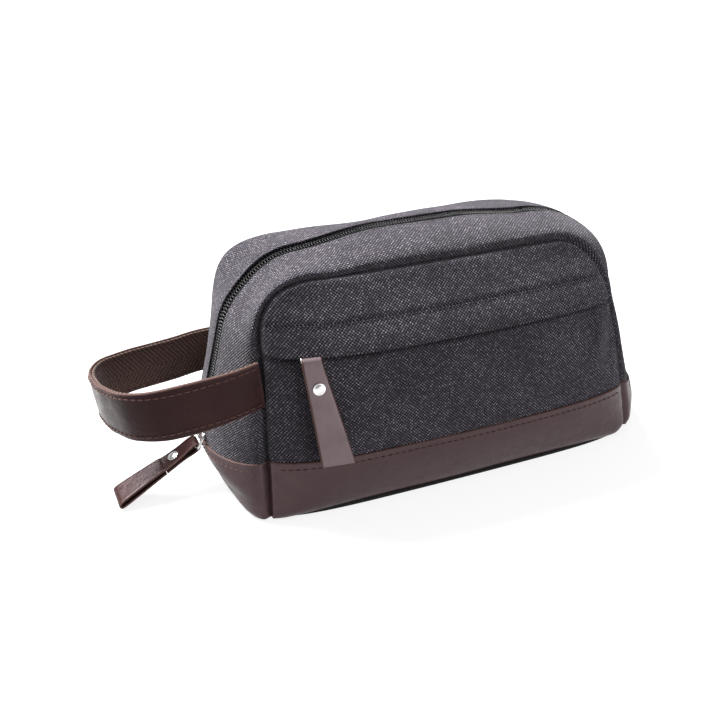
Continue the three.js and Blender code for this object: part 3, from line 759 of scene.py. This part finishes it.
THREADS = {
    "thread": ("brown_thread", (0.016, 0.006, 0.005, 1), (0.2, 0.085, 0.065, 1)),
    "dark_thread": ("dark_thread", (0.004, 0.004, 0.005, 1), (0.02, 0.02, 0.023, 1)),
}


def make_materials():
    looks = {
        "canvas": canvas_material("charcoal_canvas", (0.0095, 0.0081, 0.0106, 1), (0.51, 0.452, 0.545, 1)),
        "edge": raw_edge_material(),
        "webbing": webbing_material(),
        "coil": plastic_material(),
        "metal": metal_material(),
        "board": board_material(),
    }
    kinds = [(leather_material, LEATHERS), (fine_cloth_material, FINE_CLOTHS), (thread_material, THREADS)]
    for make, table in kinds:
        looks.update({look: make(*settings) for look, settings in table.items()})
    return looks


# ---- Faces ----
def face_columns(z):
    """Evenly shared columns along a face at height z, crowded towards both seams."""
    low, high = -face_end(TOP_HALF["left"], z), face_end(TOP_HALF["right"], z)
    shares = crowded(0, 100, 84, edge=4.0, fine=0.3) / 100
    return low + (high - low) * shares


def face_grid(sign, heights, proud, turned_in=1.0):
    """Points of a face between heights; proud(x, z) is how far it stands out."""
    rows = []
    for z in heights:
        x = face_columns(z)
        level = np.full_like(x, z)
        rows.append(face_point(sign, x, level, proud(x, level), turned_in))
    return np.array(rows)


def front_waves(x, z):
    """The front canvas is uneven, has dents near its seams, and sinks behind the placket."""
    dents = sum(h * hump(x, at, wide) * hump(z, level, tall) for h, at, wide, level, tall in FRONT_DENTS)
    gap = GAP_DEPTH * np.clip((z - GAP_BOTTOM) / (GAP_TOP - GAP_BOTTOM), 0, 1)
    return 0.55 * ripple(x, z, 52, 10) + dents - gap


def rear_waves(x, z):
    return 0.55 * ripple(x, z, 52, 12)


def placket_proud(x, z):
    """How far the placket stands off the face: most along its free lower edge, little at its seams."""
    share = np.clip((PLACKET_TOP - z) / (PLACKET_TOP - PLACKET_BOTTOM), 0, 1)
    ends = np.clip(seam_distance(x, z) / PLACKET_END_FADE, 0, 1)
    ends = ends * ends * (3 - 2 * ends)
    lift = (PLACKET_LIFT - PLACKET_ROOT) * share**0.8 * ends
    return PLACKET_ROOT + lift + 0.25 * ripple(x, z, 40, 21)


def upper_proud(x, z):
    """Above the placket the canvas lies level with it, then falls back to the face."""
    near = np.clip((z - PLACKET_TOP) / 14, 0, 1)
    seam = -1.3 * hump(z, PLACKET_TOP + 0.5, 0.8)
    level = (front_waves(x, z) + GAP_DEPTH - 0.2) * near
    return level + PLACKET_ROOT * (1 - near) ** 2 + seam


def build_faces(looks):
    lower = [(CANVAS_FOOT, 87, 47), (GAP_BOTTOM, GAP_TOP, 4), (90, 93, 3)]
    upper = [(PLACKET_TOP, 120.94, 17), (122, 125, 9)]
    rear = [(CANVAS_FOOT, 120, 72), (120.4, SEAM_HEIGHT, 9)]
    faces = [
        ("front_lower_canvas", -1, lower, front_waves, "front_lower_panel"),
        ("front_upper_canvas", -1, upper, upper_proud, "front_upper_panel"),
        ("rear_canvas", 1, rear, rear_waves, "rear_panel"),
    ]
    for name, sign, spans, proud, node in faces:
        heights = np.concatenate([np.linspace(*span) for span in spans])
        points = face_grid(sign, heights, proud)
        cloth = grid_object(name, points, cloth_uvs(points), looks["canvas"], flip=sign > 0)
        attach(cloth, "bag", [node])
    build_placket(looks)


def build_placket(looks):
    """The flap over the pocket zip, with its free edge folded back, and the stitches along its top."""
    points = face_grid(-1, np.linspace(PLACKET_BOTTOM, PLACKET_TOP + 0.6, 16), placket_proud)
    turns = [(0.25, -0.4), (0.75, -0.55), (1.2, -0.4), (4.5, 0.4), (7.0, 1.6)]
    folded = [points[0] + np.array([0, deep, rise]) for deep, rise in turns]
    points = np.concatenate([np.array(folded)[::-1], points])
    cloth = grid_object("pocket_placket_canvas", points, cloth_uvs(points), looks["canvas"])
    attach(cloth, "bag", ["pocket_placket"])
    x = face_columns(PLACKET_TOP)[6:-6]
    z = np.full_like(x, PLACKET_TOP + 0.2)
    line = face_point(-1, x, z, placket_proud(x, z))
    path, _ = resampled(line, 1.0)
    normals = np.tile([0, -1.0, 0.1], (len(path), 1))
    thread = looks["dark_thread"]
    row = stitch_row("placket_stitches", path, normals, thread, pitch=2.9, length=0.7, radius=0.28)
    attach(row, "bag")


# ---- Leather trim ----
def trim_proud(x, z):
    """The trim lies over the canvas, rolls under at its foot and is a little uneven."""
    foot = -3.2 * np.exp(-((z - 1.0) / 2.2))
    return TRIM_PROUD + foot + 0.3 * ripple(x, z, 60, 31)


def build_long_trim(looks, name, sign, node):
    """The leather along the foot of the front or rear, with its raw top edge and its stitches."""
    heights = np.concatenate([np.linspace(1.0, 6, 9), np.linspace(7.5, TRIM_HEIGHT, 20)])
    points = face_grid(sign, heights, trim_proud, LEATHER_TURN)
    leather = grid_object(name, points, cloth_uvs(points), looks["leather"], flip=sign > 0)
    attach(leather, "bag", [node])
    top, below = points[-1], points[-2]
    inward = np.tile([0, -sign * 1.0, 0], (len(top), 1))
    edge = bead(name + "_edge", top, inward, unit(top - below), TRIM_EDGE, looks["edge"])
    attach(edge, "bag")
    height = TRIM_HEIGHT - TRIM_STITCH_INSET
    x = face_columns(height)[7:-7]
    z = np.full_like(x, height)
    path, _ = resampled(face_point(sign, x, z, trim_proud(x, z), LEATHER_TURN), 1.0)
    normals = np.tile([0, sign * 1.0, 0.1], (len(path), 1))
    row = stitch_row(name + "_stitches", path, normals, looks["thread"], radius=TRIM_THREAD)
    attach(row, "bag")


def trim_top(y):
    """The height of an end leather's top edge at a depth y: lowest at the zip."""
    return ZIP_END - 1 + TRIM_DIP * (y / BASE_HALF_DEPTH) ** 2


def end_leather_point(left, share, y_share, lift=1.0):
    """A point of an end's leather: up from the base by a share, and across from seam to seam."""
    seam_top = strip_seam(np.float64(30))
    s = 1.0 + (trim_top(y_share * seam_top) - 0.2) * share
    t = s if left else RIM_LENGTH - s
    sign = np.where(y_share < 0, -1.0, 1.0)
    point = puffed_strip_point(sign, t, shares_from_zip(t, y_share), CANVAS_ROLL, LEATHER_TURN)
    _, _, nx, nz = rim(t)
    distance = strip_seam(t) * (1 - np.abs(y_share))
    soft = 0.5 * ripple(s * 2, y_share * 50, 34, 41) * np.clip(distance / 10, 0, 1)
    foot = -1.6 * np.exp(-(((s - 1.0) / 1.6) ** 2))
    corner = corner_lift(distance, s)
    lifted = corner * (LEFT_CORNER_SHARE if left else 1.0)
    rise = (lift + soft + foot) * (1 - np.exp(-distance / 3)) - CORNER_IN_X * lifted
    shift = [nx * rise, -CORNER_IN_Y * sign * corner, nz * rise + CORNER_UP * lifted]
    return point + np.stack(shift, -1)


def shares_from_zip(t, y_share):
    """Where a share of the seam's depth lies between the zip's edge (0) and the seam (1)."""
    seam = strip_seam(t)
    return (np.abs(y_share) * seam - ZIP_HALF_OPENING) / (seam - ZIP_HALF_OPENING)


def build_end_leather(looks, side):
    """The leather round the foot of an end, with its raw top edge and its stitches."""
    left = side == "left"
    shares = np.linspace(0, 1, 26)
    across = crowded(-1, 1, 60, edge=0.1, fine=0.008)
    points = np.array([end_leather_point(left, u, across) for u in shares])
    name = side + "_end_leather"
    leather = grid_object(name + "_skin", points, cloth_uvs(points), looks["leather"], flip=left)
    attach(leather, "bag", [name])
    top = points[-1]
    inward = unit(end_leather_point(left, 1.0, across, 0.0) - top + np.array([1e-6, 0, 0]))
    edge = bead(name + "_edge", top, inward, unit(top - points[-2]), TRIM_EDGE, looks["edge"])
    attach(edge, "bag")
    line = across[np.abs(across) < END_STITCH_REACH]
    path = end_leather_point(left, END_STITCH_HEIGHT, line)
    normals = unit(path - end_leather_point(left, END_STITCH_HEIGHT, line, 0.0))
    row = stitch_row(side + "_end_stitches", path, normals, looks["thread"], radius=TRIM_THREAD)
    attach(row, "bag")


# ---- The canvas strip up the ends and over the top ----
def strip_rows():
    """Stations along the strip, with exact cuts where the flaps begin and end."""
    cut_from = CORNER_END + (FLAP_FROM + TOP_HALF["left"] - CORNER_RADIUS)
    cut_to = RIM_LENGTH - CORNER_END - (TOP_HALF["right"] - CORNER_RADIUS - FLAP_TO)
    left = np.linspace(STRIP_FOOT, cut_from, 80)
    top = np.linspace(cut_from, cut_to, 92)
    right = np.linspace(cut_to, RIM_LENGTH - STRIP_FOOT, 80)
    return [("left", left), ("top", top), ("right", right)]


def strip_columns():
    """Shares across the strip from zip to seam, crowded at both."""
    spans = [(0, 0.12, 6), (0.16, 0.84, 16), (0.86, 1, 18)]
    return np.concatenate([np.linspace(*span) for span in spans])


def above_leather(t, shares):
    """The strip's lowest stations, moved up towards the seams to follow the end leather's top edge."""
    s = min(t, RIM_LENGTH - t)
    y = ZIP_HALF_OPENING + (strip_seam(np.float64(t)) - ZIP_HALF_OPENING) * shares
    rise = trim_top(y) - LEATHER_OVERLAP - STRIP_FOOT
    raised = s + rise * np.clip(1 - (s - STRIP_FOOT) / FOLLOW_LENGTH, 0, 1)
    return raised if t < RIM_LENGTH / 2 else RIM_LENGTH - raised


def canvas_strip(sign, stations):
    """The strip's cloth on one side of the zip, with its edge folded under beside the zip."""
    shares = strip_columns()
    rows = []
    for t in stations:
        cloth = puffed_strip_point(sign, above_leather(t, shares), shares, CANVAS_ROLL)
        crease = 0.3 * hump(shares * strip_seam(np.float64(t)), 2.6, 0.7)
        _, _, nx, nz = rim(np.float64(t))
        normal = np.array([nx, 0, nz])
        cloth = cloth - crease[:, None] * normal
        folds = [(0.35, -0.25), (0.3, -0.9), (-0.1, -1.5), (-3.0, -1.8)]
        folded = [cloth[0] + np.array([0, -sign * out, 0]) + normal * down for out, down in folds]
        rows.append(np.concatenate([np.array(folded)[::-1], cloth]))
    points = np.array(rows)
    across = np.linalg.norm(np.diff(points, axis=1), axis=2).cumsum(axis=1)
    across = np.concatenate([np.zeros((len(points), 1)), across], axis=1)
    every = np.linspace(0, RIM_LENGTH, 400)
    length = run_lengths(puffed_strip_point(sign, every, 0.55 + 0 * every, CANVAS_ROLL))
    along = np.interp(stations, every, length)
    return points, np.stack(np.broadcast_arrays(along[:, None], across), -1)


def build_strip(looks):
    for half, sign in (("front", -1), ("rear", 1)):
        for part, stations in strip_rows():
            points, uvs = canvas_strip(sign, stations)
            name = f"{part}_strip_canvas_{half}"
            cloth = grid_object(name, points, uvs, looks["canvas"], flip=sign > 0)
            if part == "top":
                attach_flap(cloth, ["top_flap_" + half])
            else:
                attach(cloth, "bag", [f"{part}_gusset_{half}"])


def attach_flap(piece, nodes=()):
    """The flap's hinge is at its seam; the piece keeps its place with its transform baked into its mesh."""
    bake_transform(piece)
    if nodes:
        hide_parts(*nodes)


def build_flap_linings(looks):
    """Lining cloth under each flap, from beside the zip almost to the seam."""
    _, stations = strip_rows()[1]
    for half, sign in (("front", -1), ("rear", 1)):
        rows, uvs = [], []
        shares = np.linspace(0.17, 0.92, 12)
        for t in stations[::2]:
            seam = strip_seam(np.float64(t))
            rows.append(strip_point(np.full_like(shares, t), sign * seam * shares, FLAP_LINING_DEPTH))
            uvs.append([(t, seam * s) for s in shares])
        name = "flap_lining_" + half
        cloth = grid_object(name + "_cloth", np.array(rows), np.array(uvs), looks["lining"], flip=sign > 0)
        attach_flap(cloth, [name])


# ---- Main zip ----
def tooth_part(centre, along, across, up, sign):
    """One coil tooth: a rounded bar from the tape to just past the middle."""
    reach = np.array([-3.3, -2.6, -0.9, -0.1, 0.35]) * sign
    size = np.array([0.62, 0.8, 0.8, 1.05, 0.45])
    lift = np.array([-0.3, 0.0, 0.12, 0.2, 0.0])
    angle = np.linspace(0, 2 * math.pi, TOOTH_SIDES, endpoint=False)[:, None]
    outline = along * 0.46 * np.cos(angle) + up * 0.75 * np.sin(angle)
    rings = [centre - across * r + up * h + s * outline for r, s, h in zip(reach, size, lift)]
    points = np.concatenate(rings)
    faces = grid_faces(len(reach), TOOTH_SIDES, closed=True, flip=sign < 0)
    return points, faces, np.zeros((len(points), 2))


def zip_teeth(sign, stations):
    """Teeth of one side of the chain along the stations' range."""
    first = TOOTH_PITCH * (0.5 if sign > 0 else 0)
    at = np.arange(stations[0] + first + 0.4, stations[-1] - 0.4, TOOTH_PITCH)
    middle = strip_point(at, 0 * at, CHAIN_DEPTH)
    ahead, behind = (strip_point(at + step, 0 * at, CHAIN_DEPTH) for step in (0.5, -0.5))
    along = unit(ahead - behind)
    across = np.array([0, 1.0, 0])
    ups = np.cross(along, across)
    return [tooth_part(c, forward, across, up, sign) for c, forward, up in zip(middle, along, ups)]


def zip_tape(sign, stations):
    """One side of the tape, which rises a little towards the coil."""
    offsets = np.array([9.0, 7.0, 5.5, 4.6, 3.8, 3.3, 2.6, 1.4, 0.5])
    depths = np.array([2.0, 2.0, 1.95, 1.9, 1.8, 1.6, 1.5, 1.45, 1.45])
    rows = [strip_point(np.full_like(offsets, t), sign * offsets, depths) for t in stations]
    uvs = [[(t, o) for o in offsets] for t in stations]
    return np.array(rows), np.array(uvs)


def build_zip(looks):
    """The main zip's tape and teeth, in the strip's three parts."""
    for part, stations in strip_rows():
        foot = ZIP_END if part != "right" else ZIP_END + 3
        inside = stations[(stations >= ZIP_END) & (stations <= RIM_LENGTH - foot)]
        for half, sign in (("front", -1), ("rear", 1)):
            points, uvs = zip_tape(sign, inside)
            tape = grid_object(f"{part}_zip_tape_{half}", points, uvs, looks["tape"], flip=sign > 0)
            teeth = joined(zip_teeth(sign, inside))
            chain = new_object(f"{part}_zip_teeth_{half}", *teeth, [looks["coil"]])
            if part == "top":
                attach_flap(tape, ["top_zip_" + half])
                attach_flap(chain)
            else:
                attach(tape, "bag", [f"{part}_zip_{half}"])
                attach(chain, "bag")


# ---- Base and lining ----
def build_base(looks):
    """The base: a slab of black cloth with a soft rim, its ends drawn in as the CAD's are."""
    u = np.linspace(-1, 1, 60)
    long_x = u * BASE_HALF_LENGTH
    end_y = np.linspace(-1, 1, 24)[1:-1]
    end_depth = float(face_depth(np.float64(BASE_HALF_LENGTH), np.float64(0)))
    end_fullness = 1 - np.abs(end_y) ** SQUARENESS[0][1]
    right_x = BASE_HALF_LENGTH + CROWN[-1][1] * end_fullness
    left_x = BASE_HALF_LENGTH + CROWN[0][1] * end_fullness
    ring = np.concatenate([
        np.stack([long_x, -face_depth(long_x, 0 * u)], -1),
        np.stack([right_x, end_y * end_depth], -1),
        np.stack([long_x[::-1], face_depth(long_x, 0 * u)[::-1]], -1),
        np.stack([-left_x[::-1], end_y[::-1] * end_depth], -1),
    ])
    profile = [
        (-40, 0.0), (-12, 0.0), (-1.2, 0.0), (0.4, 0.3), (1.0, 1.1), (0.5, 2.0), (-1.2, 2.5), (-12, 2.5),
    ]
    rings, uvs = [], []
    tuck = 8.0 * np.clip(np.abs(ring[:, 0]) / BASE_HALF_LENGTH, 0, 1) ** 6
    for inset, z in profile:
        scale = 1 + (inset - tuck)[:, None] / np.maximum(np.hypot(*ring.T), 1)[:, None]
        flat = ring * np.maximum(scale, 0.02)
        rings.append(np.concatenate([flat, np.full((len(ring), 1), z)], 1))
        uvs.append(flat)
    points, uvs = np.array(rings), np.array(uvs)
    faces = grid_faces(len(profile), len(ring), closed=True, flip=True).tolist()
    faces.append(list(range(len(ring)))[::-1])
    base = new_object("base_cloth", points.reshape(-1, 3), faces, uvs.reshape(-1, 2), [looks["base"]])
    attach(base, "bag", ["base_panel"])


LINING_CORNER = 0.38


def build_lining(looks):
    """An open tub of lining cloth with a hemmed rim and soft wrinkles."""
    angle = np.linspace(0, 2 * math.pi, 121)[:-1]
    cos, sin = np.cos(angle), np.sin(angle)
    heights = [5.2, 5.4, 8, 14, 24, 38, 55, 72, 88, 100, 108, 111, 112, 111]
    insets = [60, 8, 1.5, 0.4, 0, 0, 0, 0, 0, 0, 0, 0, 0.5, 1.2]
    rows, uvs = [], []
    for z, inset in zip(heights, insets):
        half = top_half(cos)
        ends = np.interp(z, [5.2, 20], [19, 5.5])
        x = squared(cos, LINING_CORNER) * (face_end(half, min(z, 100)) - ends - inset)
        wall = np.where(sin < 0, 11, 3.2) + inset
        wrinkle = 0.8 * ripple(angle * 60, z, 38, 51) * (1 if 8 < z < 108 else 0)
        y = squared(sin, LINING_CORNER) * (face_depth(x, np.float64(z)) - wall - 0.8 + wrinkle)
        rows.append(np.stack([x, y, np.full_like(x, z)], -1))
        uvs.append(np.stack([angle * 55, np.full_like(x, z)], -1))
    points = np.array(rows)
    faces = grid_faces(len(rows), len(angle), closed=True, flip=True).tolist()
    faces.append(list(range(len(angle)))[::-1])
    flat_uvs = np.array(uvs).reshape(-1, 2)
    tub = new_object("lining_tub", points.reshape(-1, 3), faces, flat_uvs, [looks["lining"]])
    attach(tub, "bag", ["lining_bag"])


# ---- Wrist strap ----
def strap_frame():
    """The strap's middle line, its width direction and its outward direction."""
    centres = spline(STRAP_ROUTE, 150)
    centres[:, 0] += 1.8 * hump(centres[:, 0], STRAP_TIP_X, 14)
    forward = unit(np.gradient(centres, axis=0))
    bend = hump(centres[:, 0], STRAP_TIP_X, 16)[:, None]
    upright = np.array([0, 0, 1.0]) + np.array([-0.13, 0, 0]) * bend
    up = unit(upright - forward * np.sum(upright * forward, -1, keepdims=True))
    out = unit(np.cross(forward, up))
    facing = np.sign(np.sum(out * (centres - np.array([-140, 0, 66])), -1, keepdims=True))
    return centres, up, out * facing


def build_strap(looks):
    """Leather outside and webbing inside, sewn together along both edges."""
    centres, up, out = strap_frame()
    share = np.linspace(0, 1, len(centres))
    bend = 0.35 * ripple(share * 150, 0 * share, 17, 61) * np.sin(math.pi * share)
    half = STRAP_WIDTH / 2 + 1.3 * hump(share, 0.19, 0.11)
    leather_line = centres + out * (STRAP_LEATHER / 2 + bend[:, None])
    web_line = centres - out * (STRAP_WEBBING / 2 + 0.15 - bend[:, None])
    leather = band_object("strap_leather_band", leather_line, up, out, half, STRAP_LEATHER,
                          [looks["strap_leather"], looks["edge"]], dome=STRAP_DOME)
    attach_strap(leather, ["strap_leather"])
    webbing = band_object("strap_webbing_band", web_line, up, out, half - 0.5, STRAP_WEBBING,
                          [looks["webbing"], looks["webbing"]])
    attach_strap(webbing, ["strap_webbing"])
    for place, height in (("upper", 1), ("lower", -1)):
        rise = up * height * (STRAP_WIDTH / 2 - STRAP_STITCH_INSET)
        outer = leather_line + out * (STRAP_LEATHER / 2 + 0.08) + rise
        inner = web_line - out * (STRAP_WEBBING / 2) + rise
        name = f"strap_{place}_stitches"
        attach_strap(stitch_row(name, outer, out, looks["thread"], radius=0.42))
        attach_strap(stitch_row(name + "_inside", inner, -out, looks["thread"], radius=0.3))


def attach_strap(piece, nodes=()):
    """The strap's sewn ends stay in the bag's seams; the piece keeps its place with its transform baked in.
    """
    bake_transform(piece)
    if nodes:
        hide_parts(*nodes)


# ---- Pulls ----
# Where each pull's ring and tab begin, and the way they run: tilted out from straight down, and turned
# round the bag from -X, in degrees. Then their sizes, how the tab leans sideways and bows outwards, how
# far its two layers part below and above, and the bodies they ride.
PULLS = {
    "main": {
        "ring": (-132.158, 0, 30.714), "ring_tilt": 31.33, "ring_turn": 0,
        "tab": (-136.63, 0, 23.368), "tab_tilt": 63.989, "turn": 0,
        "ring_half": 6.6, "ring_length": 8.6, "tab_length": 50.2,
        "lean": -0.09, "bow": 0.0, "below": 0.75, "above": 2.2,
        "look": "strap_leather", "body": "main_pull", "ring_body": "main_ring",
    },
    "pocket": {
        "ring": (-86.61, -47.5, 93.2), "ring_tilt": 73.797, "ring_turn": 80.165,
        "tab": (-88.111, -56.151, 90.647), "tab_tilt": 6.668, "turn": 82.458,
        "ring_half": 4.6, "ring_length": 9.14, "tab_length": 56,
        "lean": -0.19, "bow": 3.4, "below": 1.0, "above": 1.0,
        # The pocket tab's look is the bag's leather with the front light's highlight painted into its
        # colour.
        "look": "painted_highlight_leather", "body": "pocket_pull", "ring_body": "pocket_slider",
    },
}
RING_CORNER = 0.32


def run_direction(tilt, turn):
    tilt, turn = math.radians(tilt), math.radians(turn)
    out = math.sin(tilt)
    return np.array([-math.cos(turn) * out, -math.sin(turn) * out, -math.cos(tilt)])


def width_direction(spec):
    turn = math.radians(spec["turn"])
    return np.array([-math.sin(turn), math.cos(turn), 0])


def build_ring(looks, name, spec):
    """A wire ring bent to a rounded rectangle."""
    origin, across = np.array(spec["ring"]), width_direction(spec)
    along = run_direction(spec["ring_tilt"], spec["ring_turn"])
    angle = np.linspace(0, 2 * math.pi, 97)[:, None]
    half = spec["ring_length"] / 2
    path = origin + along * (half - half * squared(np.cos(angle), RING_CORNER))
    path, _ = resampled(path + across * spec["ring_half"] * squared(np.sin(angle), RING_CORNER), 0.4)
    normals = np.tile(np.cross(along, across), (len(path), 1))
    points, faces, uvs = tube_part(path, normals, np.full(len(path), RING_WIRE), 12)
    ring = new_object(name + "_pull_wire", points, faces, uvs, [looks["metal"]])
    attach(ring, spec["ring_body"], [name + "_pull_ring"])


def tab_line(length, below, above):
    """The loop's middle line as (along, out) points: round the ring, riveted, folded at the tip."""
    wrap, pinch = 1.75, 0.9
    return [
        (20.5, -pinch), (length * 0.45, -pinch), (length * 0.75, -0.5 * (below + pinch)),
        (length - 5, -below), (length - 1.6, -below * 0.6), (length - 0.7, 0.3 * above),
        (length - 1.6, 0.85 * above), (length - 5, above), (length * 0.75, above * 0.95),
        (length * 0.45, pinch + 0.3 * above), (19, pinch), (9, pinch + 0.15), (3, wrap), (0, wrap),
        (-wrap * 0.72, wrap * 0.72), (-wrap, 0), (-wrap * 0.72, -wrap * 0.72), (0, -wrap), (3, -wrap),
        (9, -pinch - 0.15), (20, -pinch),
    ]


def tab_bow(spec, share):
    """How far a tab bows outwards at a share of its length."""
    return spec["bow"] * np.sin(0.64 * math.pi * share)


def build_tab(looks, name, spec):
    """A pull tab: a strip of leather folded into a loop that widens towards its tip."""
    origin, across = np.array(spec["tab"]), width_direction(spec)
    along = run_direction(spec["tab_tilt"], spec["turn"])
    up = np.cross(along, across)
    up = up * (1 if up[2] - up[1] > 0 else -1)
    length = spec["tab_length"]
    layers = tab_line(length, spec["below"], spec["above"])
    line = spline([(run, 0, out) for run, out in layers], 170)
    share = np.clip(line[:, :1] / length, 0, 1)
    centres = origin + along * line[:, :1] + up * (line[:, 2:] + tab_bow(spec, share))
    centres = centres + across * spec["lean"] * length * share
    forward = unit(np.gradient(line, axis=0))
    out = unit(along * forward[:, 2:] - up * forward[:, :1])
    half = TAB_TOP_HALF + TAB_FLARE * share[:, 0]
    sides = np.tile(across, (len(centres), 1))
    tab = band_object(name + "_pull_loop", centres, sides, out, half, TAB_THICKNESS,
                      [looks[spec["look"]], looks["edge"]])
    attach(tab, spec["body"], [name + "_pull_tab"])
    rivet_centre = origin + along * RIVET_AT + across * spec["lean"] * RIVET_AT
    rivet_centre = rivet_centre + up * tab_bow(spec, RIVET_AT / length)
    build_rivet(looks, name, spec, rivet_centre, up, across)


# A rivet cap's outline from its middle out: radius and height.
CAP_OUTLINE = [
    (0.01, 1.15), (0.9, 1.1), (1.8, 0.9), (2.5, 0.55), (2.75, 0.42),
    (3.0, 0.5), (3.2, 0.35), (3.25, 0.05), (3.1, -0.2),
]


def build_rivet(looks, name, spec, centre, up, across):
    """Two domed caps, one on each side of the tab, each with a turned rim."""
    angle = np.linspace(0, 2 * math.pi, 28, endpoint=False)[:, None]
    circle = across * np.cos(angle) + np.cross(up, across) * np.sin(angle)
    parts = []
    for face in (1, -1):
        seat = centre + up * face * RIVET_SEAT
        rings = [seat + up * face * height + circle * radius for radius, height in CAP_OUTLINE]
        points = np.concatenate(rings)
        faces = grid_faces(len(CAP_OUTLINE), len(angle), closed=True, flip=face > 0)
        parts.append((points, faces, np.zeros((len(points), 2))))
    rivet = new_object(name + "_rivet_caps", *joined(parts), [looks["metal"]])
    attach(rivet, spec["body"], [name + "_pull_rivet"])


# ---- Putting it together ----
def attach(piece, body, nodes=()):
    """The piece rides a body, and stands for CAD nodes, which are hidden."""
    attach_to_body(piece, body)
    if nodes:
        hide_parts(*nodes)


CAD_LOOKS = {
    "main_slider": "metal", "pocket_slider": "metal", "main_zip_stop": "metal",
    "pocket_zip_stop_left": "metal", "pocket_zip_stop_right": "metal",
    "pocket_zip_upper": "inner_cloth", "pocket_zip_lower": "inner_cloth",
    "pocket_bag": "inner_cloth", "base_board": "board",
}


def dress_cad_nodes(looks, nodes):
    """Materials, and softened corners, for the CAD pieces that stay."""
    for name, look in CAD_LOOKS.items():
        node = nodes[name]
        node.data.materials.clear()
        node.data.materials.append(looks[look])
        bevel = node.modifiers.new("soft corners", "BEVEL")
        bevel.width = 0.25 * MM
        bevel.segments = 2
        bevel.limit_method = "ANGLE"
        bevel.angle_limit = math.radians(50)
        bevel.harden_normals = True


def make_camera():
    camera = bpy.data.objects.new("camera", bpy.data.cameras.new("camera"))
    bpy.context.scene.collection.objects.link(camera)
    camera.location = (-0.22825, -0.44297, 0.31079)
    camera.rotation_euler = (math.radians(90 - 28.03), 0, math.radians(-23.17))
    camera.data.lens = 48.36
    bpy.context.scene.camera = camera


def add_sun(name, direction, strength, softness):
    """Even light travelling along a direction; its softness is an angle in degrees."""
    light = bpy.data.lights.new(name, "SUN")
    light.energy = strength
    light.angle = math.radians(softness)
    sun = bpy.data.objects.new(name, light)
    sun.rotation_euler = Vector(direction).to_track_quat("-Z", "Y").to_euler()
    bpy.context.scene.collection.objects.link(sun)


def add_softbox(name, location, size, power, target=(0, 0, 0.06)):
    """A glowing rectangle that faces its target."""
    light = bpy.data.lights.new(name, "AREA")
    light.shape = "RECTANGLE"
    light.size, light.size_y = size
    light.energy = power
    box = bpy.data.objects.new(name, light)
    box.location = location
    box.rotation_euler = (Vector(target) - Vector(location)).to_track_quat("-Z", "Y").to_euler()
    bpy.context.scene.collection.objects.link(box)


def shade_world(tree):
    """A weak fill that is brighter from above than from below."""
    direction = tree.nodes.new("ShaderNodeTexCoord").outputs["Generated"]
    split = tree.nodes.new("ShaderNodeSeparateXYZ")
    strength = tree.nodes.new("ShaderNodeMapRange")
    for socket, number in zip(list(strength.inputs)[1:5], (-0.6, 0.8, 0.16, 0.56)):
        socket.default_value = number
    background = tree.nodes["Background"]
    background.inputs["Color"].default_value = (0.96, 0.97, 1, 1)
    tree.links.new(direction, split.inputs[0])
    tree.links.new(split.outputs[2], strength.inputs[0])
    tree.links.new(strength.outputs[0], background.inputs["Strength"])


def make_studio():
    """A white floor, soft light from above, behind and the left, a softbox in front, and a weak fill."""
    half = 6.0
    corners = [(-half, -half, 0), (half, -half, 0), (half, half, 0), (-half, half, 0)]
    floor_mesh = bpy.data.meshes.new("floor")
    floor_mesh.from_pydata(corners, [], [(0, 1, 2, 3)])
    floor = bpy.data.objects.new("floor", floor_mesh)
    floor.visible_diffuse = False
    bpy.context.scene.collection.objects.link(floor)
    paper = Shader("white_paper", Roughness=0.9, Emission_Color=(1, 1, 1, 1), Emission_Strength=0.82)
    tone = paper.noise(paper.body_coordinates(), size=300, detail=1.0)
    colour = paper.mix(tone, (0.3, 0.3, 0.3, 1), (0.34, 0.34, 0.34, 1))
    floor_mesh.materials.append(paper.finish(Base_Color=colour))
    world = bpy.data.worlds.new("studio")
    world.use_nodes = True
    bpy.context.scene.world = world
    shade_world(world.node_tree)
    add_sun("key", (0.31, -0.6, -0.75), 9.4, 32)
    add_softbox("front", (0.52, -1.3, 0.2), (0.7, 0.45), 5.8)
    bpy.context.scene.view_settings.view_transform = "Standard"


def main():
    for obj in list(bpy.data.objects):
        bpy.data.objects.remove(obj)
    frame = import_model()
    make_camera()
    make_studio()
    looks = make_materials()
    build_faces(looks)
    build_long_trim(looks, "front_trim", -1, "front_leather_trim")
    build_long_trim(looks, "rear_trim", 1, "rear_leather_trim")
    for side in ("left", "right"):
        build_end_leather(looks, side)
    build_strip(looks)
    build_flap_linings(looks)
    build_zip(looks)
    build_base(looks)
    build_lining(looks)
    build_strap(looks)
    for name, spec in PULLS.items():
        build_ring(looks, name, spec)
        build_tab(looks, name, spec)
    dress_cad_nodes(looks, frame["nodes"])


main()
